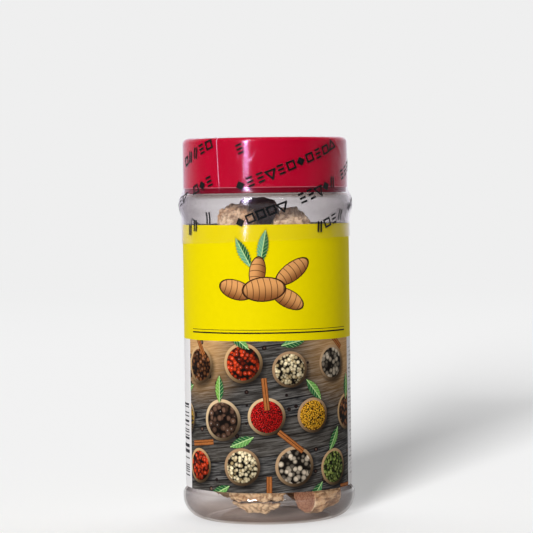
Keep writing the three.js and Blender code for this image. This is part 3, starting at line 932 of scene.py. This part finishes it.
def body_outline(inset):
    """Outline of the jar's body from the middle of its base up to the neck, taken in by the wall."""
    dome = [(RING_INNER * t, inset + PUSH_UP * (1 - t ** PUSH_UP_CURVE)) for t in evenly(PUSH_UP_STEPS)]
    shoulder_centre = SHOULDER_RADIUS - SHOULDER_ROUND
    return [
        *dome,
        *arc(RING_OUTER, HEEL_RADIUS, HEEL_RADIUS - inset, -90, 0, 20),
        *wall_step(BASE_RADIUS - inset, BASE_BULGE_TOP, PANEL_RADIUS - inset, PANEL_BOTTOM, 10),
        *wall_step(PANEL_RADIUS - inset, PANEL_TOP, SHOULDER_RADIUS - inset, SHOULDER_BOTTOM, 12),
        *arc(shoulder_centre, SHOULDER_TOP, SHOULDER_ROUND - inset, 0, SHOULDER_TURN, 12),
    ]


def thread_height(angle, height, top):
    """Height of a thread ridge over the wall at a place round it, from a helix that falls as it turns."""
    reach = 0.0
    for lap in range(math.ceil(THREAD_TURNS) + 1):
        turn = (-angle / (2 * math.pi)) % 1 + lap
        fade = min(turn, THREAD_TURNS - turn) / THREAD_RUN_OUT
        off = abs(height - (top - THREAD_PITCH * turn))
        slope = (THREAD_ROOT_HALF - off) / (THREAD_ROOT_HALF - THREAD_CREST_HALF)
        reach = max(reach, min(1.0, fade, slope))
    return THREAD_DEPTH * max(0.0, reach)


def thread_rows(radius, from_height, to_height):
    count = math.ceil(abs(to_height - from_height) / THREAD_ROW)
    return [(radius, mix(from_height, to_height, t)) for t in evenly(count)]


def jar_piece(material):
    outside = body_outline(0.0)
    threads = thread_rows(NECK_RADIUS, THREAD_TOP - THREAD_BELOW, THREAD_TOP + THREAD_ABOVE)
    neck = [(NECK_RADIUS, NECK_FOOT), *threads]
    rows = [
        *outside,
        *neck,
        *arc(NECK_RADIUS - RIM_ROUND, RIM_TOP - RIM_ROUND, RIM_ROUND, 0, 90, 5),
        (MOUTH_RADIUS, RIM_TOP),
        (MOUTH_RADIUS, NECK_FOOT - WALL / 2),
        *reversed(body_outline(WALL)),
    ]
    threaded = range(len(outside) + 1, len(outside) + len(neck))

    def shaped(number, angle, radius, height):
        ridge = thread_height(angle, height, THREAD_TOP) if number in threaded else 0.0
        return radius + ridge, height
    mesh = turned_mesh("jar_body", rows, TURNED_SIDES, shaped)
    belongs(placed("jar_body", mesh, material), "clear_plastic", "jar")


def cap_piece(material):
    roof = CAP_TOP - CAP_ROOF
    top = THREAD_TOP - THREAD_PITCH / 2
    threads = thread_rows(CAP_BORE, top + THREAD_ABOVE, top - THREAD_BELOW)
    bore = [(CAP_BORE, roof), *threads, (CAP_BORE, CAP_BOTTOM)]
    rows = [
        (0.0, roof),
        *bore,
        (CAP_RADIUS - CAP_LIP_ROUND, CAP_BOTTOM),
        *arc(CAP_RADIUS - CAP_LIP_ROUND, SKIRT_BOTTOM + CAP_LIP_ROUND, CAP_LIP_ROUND, -90, 0, 5),
        *arc(CAP_RADIUS - CAP_EDGE_ROUND, CAP_TOP - CAP_EDGE_ROUND, CAP_EDGE_ROUND, 0, 90, 12),
        *wall_step(CAP_DISH_RADIUS + CAP_DISH_EDGE, CAP_TOP, CAP_DISH_RADIUS, CAP_TOP - CAP_DISH, 1),
        (0.0, CAP_TOP - CAP_DISH),
    ]

    def shaped(number, angle, radius, height):
        ridge = thread_height(angle, height, top) if 1 < number < len(bore) else 0.0
        return radius - ridge, height
    mesh = turned_mesh("cap_shell", rows, TURNED_SIDES, shaped)
    belongs(placed("cap_shell", mesh, material), "cap_red", "cap")


def liner_piece(material):
    low, high = liner_low.z, liner_high.z
    rows = [
        (0.0, low),
        *arc(LINER_RADIUS - LINER_ROUND, low + LINER_ROUND, LINER_ROUND, -90, 0, 3),
        *arc(LINER_RADIUS - LINER_ROUND, high - LINER_ROUND, LINER_ROUND, 0, 90, 3),
        (0.0, high),
    ]
    mesh = turned_mesh("liner_disc", rows, TURNED_SIDES)
    belongs(placed("liner_disc", mesh, material), "liner_foam", "cap_liner")


# Label

def label_piece(picture, yellow, back):
    """Closed sheet wrapped round the jar, with its map laid out flat over the whole label."""
    mesh = bmesh.new()
    laid_out = mesh.loops.layers.uv.new("label")
    inner_radius = LABEL_RADIUS - LABEL_THICKNESS
    levels = [mix(0, YELLOW_FOOT, r / PICTURE_ROWS) for r in range(PICTURE_ROWS)]
    levels += [mix(YELLOW_FOOT, LABEL_HEIGHT, r / YELLOW_ROWS) for r in range(YELLOW_ROWS + 1)]
    flat = {}

    def corner(column, row, radius):
        share = column / LABEL_COLUMNS
        angle = LABEL_WIDTH / inner_radius * (share - 0.5)
        up = levels[row]
        height = LABEL_BOTTOM + up
        ripple = math.sin(RIPPLES_ROUND * angle + RIPPLE_LEAN * height)
        ripple *= LABEL_RIPPLE * math.sin(RIPPLE_RISE * height + RIPPLE_START)
        vertex = mesh.verts.new(round_place(radius + ripple - LABEL_RIPPLE, angle, height))
        flat[vertex] = (share, up / LABEL_HEIGHT)
        return vertex
    columns, rows = range(LABEL_COLUMNS + 1), range(len(levels))
    outer = [[corner(c, r, LABEL_RADIUS) for r in rows] for c in columns]
    inner = [[corner(c, r, inner_radius) for r in rows] for c in columns]

    def face(corners, slot):
        made = mesh.faces.new(corners)
        made.material_index = slot
        for loop in made.loops:
            loop[laid_out].uv = flat[loop.vert]
    for c in range(LABEL_COLUMNS):
        for r in rows[:-1]:
            front = 0 if r < PICTURE_ROWS else 1
            face([outer[c][r], outer[c + 1][r], outer[c + 1][r + 1], outer[c][r + 1]], front)
            face([inner[c][r], inner[c][r + 1], inner[c + 1][r + 1], inner[c + 1][r]], 2)
        face([inner[c][0], inner[c + 1][0], outer[c + 1][0], outer[c][0]], 2)
        face([outer[c][-1], outer[c + 1][-1], inner[c + 1][-1], inner[c][-1]], 2)
    for r in rows[:-1]:
        face([inner[0][r], outer[0][r], outer[0][r + 1], inner[0][r + 1]], 2)
        face([outer[-1][r], inner[-1][r], inner[-1][r + 1], outer[-1][r + 1]], 2)
    data = finished_mesh("label_sheet", mesh)
    belongs(placed("label_sheet", data, picture, yellow, back), "label_paper", "label")


# Shrink band

# Creases of the film: angle and height where each starts and ends, half width and height
CREASES = [
    ((-34.5, 152.5), (-31.0, 114.0), 0.4, 0.12),
    ((-23.0, 148.8), (-19.5, 145.6), 0.5, 0.1),
    ((-3.5, 149.6), (-8.5, 144.6), 0.5, 0.1),
    ((-9.0, 136.4), (4.0, 135.4), 0.5, 0.1),
    ((24.0, 150.0), (33.0, 141.0), 0.7, 0.08),
]
# Small creases of the sides and the back, each drawn from these ranges
SEEDED_CREASES = 22
CREASE_SEED = 5
CREASE_ANGLES = (50, 310)
CREASE_HEIGHTS = (118, 150)
CREASE_LEAN = (-8, 8)
CREASE_DROP = (3, 9)
CREASE_HALF_WIDTHS = (0.45, 0.8)
CREASE_STANDS = (0.1, 0.24)


def all_creases():
    """The creases of the front, and small seeded ones on the sides and the back."""
    draw = random.Random(CREASE_SEED)
    creases = list(CREASES)
    for _ in range(SEEDED_CREASES):
        angle = draw.uniform(*CREASE_ANGLES)
        height = draw.uniform(*CREASE_HEIGHTS)
        end_angle = angle + draw.uniform(*CREASE_LEAN)
        end_height = height + draw.choice((-1, 1)) * draw.uniform(*CREASE_DROP)
        half, tall = draw.uniform(*CREASE_HALF_WIDTHS), draw.uniform(*CREASE_STANDS)
        creases.append(((angle, height), (end_angle, end_height), half, tall))
    return creases


def crease_lift(creases, angle_deg, height, radius):
    """How far the film stands off, by its distance from each crease's line on the unrolled film."""
    lift = 0.0
    for start, end, half, tall in creases:
        middle_deg = (start[0] + end[0]) / 2
        turned_deg = (angle_deg - middle_deg + 180) % 360 - 180 + middle_deg
        across = math.radians(1) * radius
        px, py = (turned_deg - start[0]) * across, height - start[1]
        dx, dy = (end[0] - start[0]) * across, end[1] - start[1]
        share = min(max((px * dx + py * dy) / (dx * dx + dy * dy), 0.0), 1.0)
        away = math.hypot(px - share * dx, py - share * dy)
        if away < 3 * half:
            lift = max(lift, tall * math.exp(-(away / half) ** 2))
    return lift


def band_side(gap):
    """Side of the film from its fold over the cap down to its lower edge."""
    panel = LABEL_RADIUS + gap
    return [
        (CAP_RADIUS - BAND_LIP, CAP_TOP + gap),
        *arc(CAP_RADIUS - CAP_EDGE_ROUND, CAP_TOP - CAP_EDGE_ROUND, CAP_EDGE_ROUND + gap, 90, 0, 10),
        *wall_step(CAP_RADIUS + gap, SKIRT_BOTTOM, SHOULDER_RADIUS + gap, SHOULDER_TOP, 8),
        *wall_step(SHOULDER_RADIUS + gap, SHOULDER_BOTTOM, panel, PANEL_TOP, 8),
        (panel, BAND_BOTTOM),
    ]


def band_piece(film):
    """Thin closed film with creases, pleats over the cap and a lower edge that isn't quite level."""
    outer = filled_in(band_side(BAND_OUTER_GAP), BAND_ROW)
    inner = filled_in(band_side(BAND_INNER_GAP), BAND_ROW)
    rows = [*reversed(outer), *inner]
    creases = all_creases()

    def shaped(_, angle, radius, height):
        lift = crease_lift(creases, math.degrees(angle), height, CAP_RADIUS)
        over_top = soft_step((CAP_RADIUS - radius) / BAND_LIP) if height > CAP_TOP - PLEAT_REACH else 0.0
        pleat = abs(math.sin(BAND_PLEATS / 2 * angle + PLEAT_SWAY * math.sin(PLEAT_SWAYS * angle)))
        low = soft_step((PANEL_TOP - height) / (PANEL_TOP - BAND_BOTTOM))
        wave = EDGE_WAVE * math.sin(EDGE_WAVES[0] * angle + 1) * math.sin(EDGE_WAVES[1] * angle)
        edge = low * (BAND_SKEW * math.sin(angle) + wave)
        hem = low * HEM_WAVE * (1 + math.sin(HEM_WAVES * angle))
        return radius + lift + hem, height + edge + BAND_PLEAT_HEIGHT * over_top * pleat
    mesh = turned_mesh("band_film", rows, BAND_SIDES, shaped, closed=True)
    piece = placed("band_film", mesh, film)
    belongs(piece, "band_film", "shrink_band")
    return piece


def print_tree():
    """Geometry Nodes: rows of plain marks that climb round the band and lie on the film under them."""
    sizes = ("Row Pitch", "Mark Pitch", "Climb", "Mark Height", "Stroke", "Radius", "Start", "Length",
             "First Height", "Lowest", "Highest", "Lift", "Thickness")
    tree, wires, entry, leave = new_tree("band_print", "Film", sizes, {"Seed": "Int", "Ink": "Material"})

    def bar(width, height, turn=0.0, shift=0.0, aside=0.0):
        """Bar moved out along its own middle line and then turned about the mark's middle."""
        feeds = {"Size X": width, "Size Y": height, "Vertices X": 4, "Vertices Y": 4}
        feeds = {"Geometry": wires.out("GeometryNodeMeshGrid", feeds),
                 "Translation": wires.joined(aside, shift, 0.0)}
        moved = wires.out("GeometryNodeTransform", feeds)
        return wires.out("GeometryNodeTransform", {"Geometry": moved, "Rotation": (0, 0, turn)})
    tall, stroke = entry["Mark Height"], entry["Stroke"]

    def polygon(corners, size, turn):
        """Outline of a regular shape, a bar to each side."""
        reach = wires.times(tall, size * math.cos(math.pi / corners))
        edge = wires.times_plus(tall, 2 * size * math.sin(math.pi / corners), stroke)
        sides = [bar(edge, stroke, turn + 2 * math.pi * k / corners, reach) for k in range(corners)]
        return wires.together(*sides)
    arm = wires.times(tall, 0.6)
    aside = wires.times(tall, 0.16)
    other_side = wires.times(tall, -0.16)
    slashes = wires.together(bar(stroke, tall, -0.4, 0.0, aside), bar(stroke, tall, -0.4, 0.0, other_side))
    tiers = wires.together(*(bar(arm, stroke, 0.0, wires.times(tall, k)) for k in (-0.36, 0.0, 0.36)))
    lozenge = bar(arm, arm, math.pi / 4)
    marks = (polygon(3, 0.5, 0.0), polygon(4, 0.46, 0.0), slashes, lozenge, tiers)
    shapes = wires.together(*(wires.out("GeometryNodeGeometryToInstance", {0: mark}) for mark in marks))

    points = wires.out("GeometryNodePoints", {"Count": PRINT_MARKS_A_ROW * PRINT_ROWS})
    index = wires.out("GeometryNodeInputIndex")
    row = wires.maths("FLOOR", wires.over(index, float(PRINT_MARKS_A_ROW)))
    column = wires.maths("MODULO", index, float(PRINT_MARKS_A_ROW))
    along = wires.times(column, entry["Mark Pitch"])
    rows_up = wires.minus(row, float(PRINT_ROWS_BELOW))
    base = wires.times_plus(rows_up, entry["Row Pitch"], entry["First Height"])
    height = wires.times_plus(along, wires.maths("TANGENT", entry["Climb"]), base)
    round_film = wires.plus(along, entry["Start"])
    flat = wires.joined(round_film, height, 0.0)
    points = wires.out("GeometryNodeSetPosition", {"Geometry": points, "Position": flat})
    feeds = {"Probability": PRINT_GAPS, "Seed": entry["Seed"]}
    gap = wires.add("FunctionNodeRandomValue", feeds, data_type="BOOLEAN").outputs[3]
    beyond = wires.maths("GREATER_THAN", along, entry["Length"])
    under = wires.maths("LESS_THAN", height, entry["Lowest"])
    over = wires.maths("GREATER_THAN", height, entry["Highest"])
    turned = wires.over(round_film, entry["Radius"])
    bare, thin, full = (wires.maths("GREATER_THAN", turned, math.radians(angle)) for angle in PRINT_BACK)
    other_row = wires.maths("MODULO", row, 2.0)
    thinned = wires.times(wires.minus(thin, full), other_row)
    left_out = wires.most(gap, beyond, under, over, wires.minus(bare, thin), thinned)
    feeds = {"Geometry": points, "Selection": left_out}
    points = wires.out("GeometryNodeDeleteGeometry", feeds, domain="POINT")
    feeds = {4: 0, 5: len(marks) - 1, "Seed": entry["Seed"]}
    pick = wires.add("FunctionNodeRandomValue", feeds, data_type="INT").outputs[2]
    flipped = wires.times(other_row, math.pi)
    turn = wires.joined(0.0, 0.0, wires.plus(entry["Climb"], flipped))
    feeds = {"Points": points, "Instance": shapes, "Pick Instance": True, "Instance Index": pick,
             "Rotation": turn}
    inked = wires.out("GeometryNodeInstanceOnPoints", feeds)
    inked = wires.out("GeometryNodeRealizeInstances", {0: inked})

    feeds = {"Mesh": inked, "Offset": (0, 0, 1), "Offset Scale": entry["Thickness"], "Individual": False}
    raised = wires.out("GeometryNodeExtrudeMesh", feeds)
    backs = wires.out("GeometryNodeFlipFaces", {"Mesh": inked})
    feeds = {"Geometry": wires.together(raised, backs), "Distance": 1e-7}
    solid = wires.out("GeometryNodeMergeByDistance", feeds)

    position = wires.out("GeometryNodeInputPosition")
    arc_place, high, depth = wires.split(position)
    angle = wires.over(arc_place, entry["Radius"])
    sine, cosine = wires.maths("SINE", angle), wires.maths("COSINE", angle)
    outside = wires.times(entry["Radius"], 2.0)
    source = wires.joined(wires.times(sine, outside), wires.times(cosine, outside, -1.0), high)
    inward = wires.joined(wires.times(sine, -1.0), cosine, 0.0)
    feeds = {"Target Geometry": entry["Film"], "Source Position": source, "Ray Direction": inward,
             "Ray Length": outside}
    hit = wires.add("GeometryNodeRaycast", feeds).outputs
    off = wires.scaled(hit["Hit Normal"], wires.plus(depth, entry["Lift"]))
    wrapped = wires.vector("ADD", hit["Hit Position"], off)
    solid = wires.out("GeometryNodeSetPosition", {"Geometry": solid, "Position": wrapped})
    inked = wires.out("GeometryNodeSetMaterial", {"Geometry": solid, "Material": entry["Ink"]})
    wires.feed(leave["Made"], inked)
    return tree


def band_print_piece(film, ink_material):
    radius = CAP_RADIUS + BAND_OUTER_GAP
    sheet = film.data.copy()
    sheet.materials.clear()
    piece = placed("band_print", sheet)
    sizes = {
        "row_pitch": PRINT_ROW_PITCH,
        "mark_pitch": PRINT_PITCH,
        "mark_height": PRINT_HEIGHT,
        "stroke": PRINT_STROKE,
        "radius": radius,
        "start": math.radians(PRINT_START) * radius,
        "length": math.radians(PRINT_END - PRINT_START) * radius,
        "first_height": PRINT_FIRST_HEIGHT,
        "lowest": BAND_BOTTOM + PRINT_MARGIN,
        "highest": PRINT_TOP,
        "lift": PRINT_LIFT,
        "thickness": PRINT_THICKNESS,
    }
    climb = math.radians(PRINT_CLIMB)
    grown(piece, print_tree(), sizes, climb=climb, seed=PRINT_SEED, ink=ink_material)
    belongs(piece, "band_film")


# Roots

def cut_faces(mesh):
    """Flat cuts of a root's solid, each a fan of coplanar faces: outward way, middle and reach."""
    fans = []
    for face in mesh.faces:
        way, depth = face.normal, face.normal.dot(face.calc_center_median())
        for fan in fans:
            if fan["way"].dot(way) > CUT_SAME_WAY and abs(fan["depth"] - depth) < CUT_SAME_DEPTH * MM:
                fan["points"] += [v.co.copy() for v in face.verts]
                fan["count"] += 1
                break
        else:
            fans.append({"way": way.copy(), "depth": depth, "count": 1,
                         "points": [v.co.copy() for v in face.verts]})
    cuts = []
    for fan in fans:
        if fan["count"] >= CUT_FACES:
            centre = sum(fan["points"], Vector()) / len(fan["points"])
            reach = max((point - centre).length for point in fan["points"])
            cuts.append((fan["way"], centre, reach))
    return cuts


def longest_axis(places):
    """Way that a cloud of points runs."""
    covariance = np.cov((places - places.mean(0)).T)
    return Vector(np.linalg.eigh(covariance)[1][:, -1])


def bark_tree():
    """Geometry Nodes: wrinkles, lumps and grain on a root, fibrous hollow cuts, and broken rootlets."""
    sizes = ("Wrinkle Width", "Wrinkle Depth", "Grain Width", "Grain Depth", "Lump Depth", "Cut Hollow",
             "Crack Height", "Rootlet Density", "Rootlet Length")
    others = {"Axis": "Vector", "Seed": "Int", "Bark": "Material"}
    tree, wires, entry, leave = new_tree("bark", "Root", sizes, others)
    position = wires.out("GeometryNodeInputPosition")
    normal = wires.out("GeometryNodeInputNormal")

    def stored(name):
        return wires.out("GeometryNodeInputNamedAttribute", {"Name": name}, data_type="FLOAT")
    cut, reach = stored("cut"), stored("reach")
    bark = wires.minus(1.0, cut)
    along = wires.vector("DOT_PRODUCT", position, entry["Axis"])
    lengthwise = wires.scaled(entry["Axis"], wires.times(along, 0.78))
    drawn_out = wires.vector("SUBTRACT", position, lengthwise)
    folds = wires.noise(drawn_out, wires.over(1.0, entry["Wrinkle Width"]), 2.0)
    groove = wires.step(wires.maths("ABSOLUTE", wires.minus(folds, 0.5)), 0.09, 0.0)
    wander = wires.scaled(wires.joined(0.0, 0.0, wires.noise(position, 200.0, 3.0)), CRACK_WANDER * MM)
    level = wires.split(wires.vector("SUBTRACT", position, wander))[2]
    off_crack = wires.maths("ABSOLUTE", wires.minus(level, entry["Crack Height"]))
    crack = wires.step(off_crack, 0.0006, 0.0001)
    groove = wires.most(groove, crack)
    lumps = wires.noise(position, wires.over(0.35, entry["Wrinkle Width"]), 2.0)
    grain = wires.noise(position, wires.over(1.0, entry["Grain Width"]), 3.0)
    swell = wires.times(wires.minus(lumps, 0.5), entry["Lump Depth"])
    sunk = wires.times(wires.times_plus(crack, 1.2, groove), entry["Wrinkle Depth"])
    fine = wires.times(wires.minus(grain, 0.5), entry["Grain Depth"])
    skin = wires.plus(wires.minus(swell, sunk), fine)
    dish = wires.times(wires.step(reach, 0.95, 0.3), entry["Cut Hollow"])
    face = wires.minus(wires.times(fine, 1.4), dish)
    height = wires.plus(wires.times(bark, skin), wires.times(cut, face))
    lines = wires.plus(groove, crack)
    feeds = {"Geometry": entry["Root"], "Name": "groove", "Value": wires.times(lines, bark)}
    root = wires.out("GeometryNodeStoreNamedAttribute", feeds, data_type="FLOAT", domain="POINT")
    feeds = {"Geometry": root, "Offset": wires.scaled(normal, height)}
    root = wires.out("GeometryNodeSetPosition", feeds)

    density = wires.times(wires.step(cut, 0.3, 0.0), entry["Rootlet Density"])
    feeds = {"Mesh": root, "Density": density, "Seed": entry["Seed"]}
    scatter = wires.add("GeometryNodeDistributePointsOnFaces", feeds).outputs
    length = entry["Rootlet Length"]
    feeds = {"Vertices": 6, "Radius Top": wires.times(length, 0.16),
             "Radius Bottom": wires.times(length, 0.42), "Depth": length}
    cone = wires.add("GeometryNodeMeshCone", feeds).outputs["Mesh"]
    sink = wires.joined(0.0, 0.0, wires.times(length, -0.35))
    cone = wires.out("GeometryNodeTransform", {"Geometry": cone, "Translation": sink})
    feeds = {2: 0.5, 3: 1.1, "Seed": entry["Seed"]}
    size = wires.add("FunctionNodeRandomValue", feeds, data_type="FLOAT").outputs[1]
    feeds = {"Points": scatter["Points"], "Instance": cone, "Rotation": scatter["Rotation"],
             "Scale": wires.joined(size, size, size)}
    rootlets = wires.out("GeometryNodeInstanceOnPoints", feeds)
    rootlets = wires.out("GeometryNodeRealizeInstances", {0: rootlets})
    smooth = wires.out("GeometryNodeSetShadeSmooth", {"Geometry": wires.together(rootlets, root)})
    barked = wires.out("GeometryNodeSetMaterial", {"Geometry": smooth, "Material": entry["Bark"]})
    wires.feed(leave["Made"], barked)
    return tree


def root_piece(node, number, tree, bark):
    """Finer piece for one root: its solid rounded off, marked with its cuts, and given its bark."""
    mesh = bmesh.new()
    mesh.from_mesh(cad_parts[node].data)
    bmesh.ops.remove_doubles(mesh, verts=mesh.verts, dist=1e-6)
    mesh.normal_update()
    cuts = cut_faces(mesh)
    worn = node in WORN_ROOTS
    if worn:
        cuts = [max(cuts, key=lambda cut: cut[2])]
    name = node.replace("root", "galangal")
    piece = placed(name, finished_mesh(name, mesh), bark)
    remesh = piece.modifiers.new("fine", "REMESH")
    remesh.mode = "VOXEL"
    remesh.voxel_size = ROOT_VOXEL * MM
    rounded = piece.modifiers.new("rounded", "SMOOTH")
    rounded.factor = 0.5
    rounded.iterations = ROOT_SMOOTHING
    settle(piece)

    data = piece.data
    count = len(data.vertices)
    places = np.empty(3 * count, np.float32)
    ways = np.empty(3 * count, np.float32)
    data.vertices.foreach_get("co", places)
    data.vertex_normals.foreach_get("vector", ways)
    places, ways = places.reshape(-1, 3), ways.reshape(-1, 3)
    cut = np.zeros(count, np.float32)
    reach = np.ones(count, np.float32)
    for way, centre, radius in cuts:
        offset = places - np.array(centre)
        depth = offset @ np.array(way)
        facing = ways @ np.array(way)
        aside = np.linalg.norm(offset - np.outer(depth, np.array(way)), axis=1) / radius
        share = np.clip((facing - CUT_LEAST_FACING) / CUT_FACING_RANGE, 0, 1)
        share *= (np.abs(depth) < CUT_DEPTH * MM) & (aside < CUT_MARGIN)
        cut = np.maximum(cut, share)
        reach = np.where(share > 0, aside, reach)
    drawn = random.Random(number + TONE_SEED).random()
    tone = np.full(count, TONE_LEAST + TONE_RANGE * drawn, np.float32)
    cracked = node == CRACKED_ROOT
    if cracked:
        over_crack = places[:, 2] / MM - CRACK_HEIGHT
        tone = np.clip(CRACKED_TONE - over_crack / CRACKED_FADE, *CRACKED_TONES)
    # painted shade for the root that lies in the shade under the cap
    if node == SHADED_ROOT:
        tone[:] = SHADED_ROOT_TONE
    for attribute_name, values in (("cut", cut), ("reach", reach), ("tone", tone)):
        attribute = data.attributes.new(attribute_name, "FLOAT", "POINT")
        attribute.data.foreach_set("value", values.astype(np.float32))
    sizes = BARK_SIZES | (WORN_DEPTHS if worn else BARK_DEPTHS)
    sizes["crack_height"] = CRACK_HEIGHT - CRACK_WANDER / 2 if cracked else NO_CRACK
    grown(piece, tree, sizes, axis=list(longest_axis(places)), rootlet_density=ROOTLETS_PER_SQUARE_METRE,
          seed=number, bark=bark)
    belongs(piece, "root_bark", node)
    return piece


# Studio

def studio(paper):
    """Wide pale floor."""
    rings = [(0.0, 0.0), *((radius / MM, 0.0) for radius in FLOOR_RINGS)]
    floor = placed("studio_floor", turned_mesh("studio_floor", rings, 96), paper)
    for face in floor.data.polygons:
        face.flip()
    return floor


def away(azimuth, elevation):
    """Way out from the jar at an angle round it and a height in degrees."""
    a, e = math.radians(azimuth), math.radians(elevation)
    return Vector((math.sin(a) * math.cos(e), -math.cos(a) * math.cos(e), math.sin(e)))


def new_light(name, kind, out, strength):
    """Light that shines in towards the jar from a way out."""
    light = bpy.data.lights.new(name, kind)
    light.energy = strength
    lamp = in_scene(name, light)
    lamp.rotation_euler = (-out).to_track_quat("-Z", "Y").to_euler()
    return lamp


def area_light(name, azimuth, elevation, distance, width, height, power, colour):
    """Softbox that faces the middle of the jar, from an angle round it and a height in degrees."""
    out = away(azimuth, elevation)
    box = new_light(name, "AREA", out, power)
    box.location = LIGHT_AIM + out * distance
    box.visible_camera = False
    box.data.shape = "RECTANGLE"
    box.data.size, box.data.size_y = width, height
    box.data.color = colour
    return box


def low_sun(azimuth, elevation, spread_deg, strength):
    """Soft low light that casts the jar's long shadow."""
    sun = new_light("low_sun", "SUN", away(azimuth, elevation), strength)
    sun.data.angle = math.radians(spread_deg)
    return sun


def lit_only(light, things, state):
    """The light reaches nothing but some things, or everything but those."""
    group = bpy.data.collections.new(f"{light.name}_reach")
    for number, thing in enumerate(things):
        group.objects.link(thing)
        group.collection_objects[number].light_linking.link_state = state
    light.light_linking.receiver_collection = group


def studio_air():
    """Pale backdrop for the camera, and for everything else a dim room that is brighter behind the jar."""
    world = bpy.data.worlds.new("studio_air")
    world.use_nodes = True
    world.node_tree.nodes.clear()
    wires = Wires(world.node_tree)
    x, y, z = wires.split(wires.add("ShaderNodeTexCoord").outputs["Generated"])
    behind = wires.step(y, *BACKDROP_EDGE)
    left = wires.step(x, *ROOM_LEFT_EDGE)
    right = wires.step(x, *BACKDROP_RIGHT_EDGE)
    backdrop = wires.times_plus(right, BACKDROP_RIGHT_LIGHT, BACKDROP_LIGHT)
    rays = wires.add("ShaderNodeLightPath").outputs
    backdrop = wires.times_plus(rays["Is Glossy Ray"], BACKDROP_GLOSS_LIGHT, backdrop)
    room = wires.times_plus(behind, backdrop, ROOM_LIGHT)
    room = wires.times_plus(left, ROOM_LEFT_LIGHT, room)
    room = wires.times_plus(wires.step(z, *ROOM_TOP_EDGE), ROOM_TOP_LIGHT, room)
    panel = wires.times(wires.step(x, *RIGHT_PANEL_EDGE), rays["Is Glossy Ray"])
    room = wires.times_plus(panel, RIGHT_PANEL_LIGHT, room)
    light = wires.out("ShaderNodeBackground", {"Strength": room})
    seen = wires.out("ShaderNodeBackground", {"Color": (1, 1, 1, 1), "Strength": STUDIO_TONE})
    mixed = wires.layers(rays["Is Camera Ray"], light, seen)
    wires.add("ShaderNodeOutputWorld", {"Surface": mixed})
    bpy.context.scene.world = world


def lights(floor, film, low_roots):
    """Softboxes on the jar, a sun on the floor, and own lights for the film and the roots at the base."""
    for name, setting in SOFTBOXES.items():
        lit_only(area_light(name, *setting), [floor], "EXCLUDE")
    lit_only(low_sun(*LOW_SUN), [floor], "INCLUDE")
    lit_only(area_light("streak_strip", *STREAK_STRIP), [film], "INCLUDE")
    lit_only(area_light("base_softbox", *BASE_SOFTBOX), low_roots, "INCLUDE")
    studio_air()


def camera():
    data = bpy.data.cameras.new("camera")
    data.sensor_width = SENSOR
    data.lens = FOCAL_PX / IMAGE_PX * SENSOR
    data.clip_start = 0.01
    view = in_scene("camera", data)
    view.location = CAMERA_PLACE
    view.rotation_euler = (math.radians(90 - CAMERA_PITCH), math.radians(CAMERA_ROLL), 0)
    bpy.context.scene.camera = view


def dress():
    jar_piece(clear_plastic())
    cap_piece(cap_red())
    liner_piece(liner_foam())
    label_piece(label_picture(), label_yellow(), label_back())
    film = band_piece(band_film())
    band_print_piece(film, band_ink())
    bark, tree = root_bark(), bark_tree()
    roots = sorted(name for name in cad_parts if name.startswith("root_"))
    pieces = {node: root_piece(node, number, tree, bark) for number, node in enumerate(roots)}
    return film, [pieces[node] for node in BASE_ROOTS]


camera()
shrink_film, low_roots = dress()
lights(studio(studio_paper()), shrink_film, low_roots)
bpy.context.scene.view_settings.view_transform = "Standard"
bpy.context.scene.cycles.transparent_max_bounces = 32
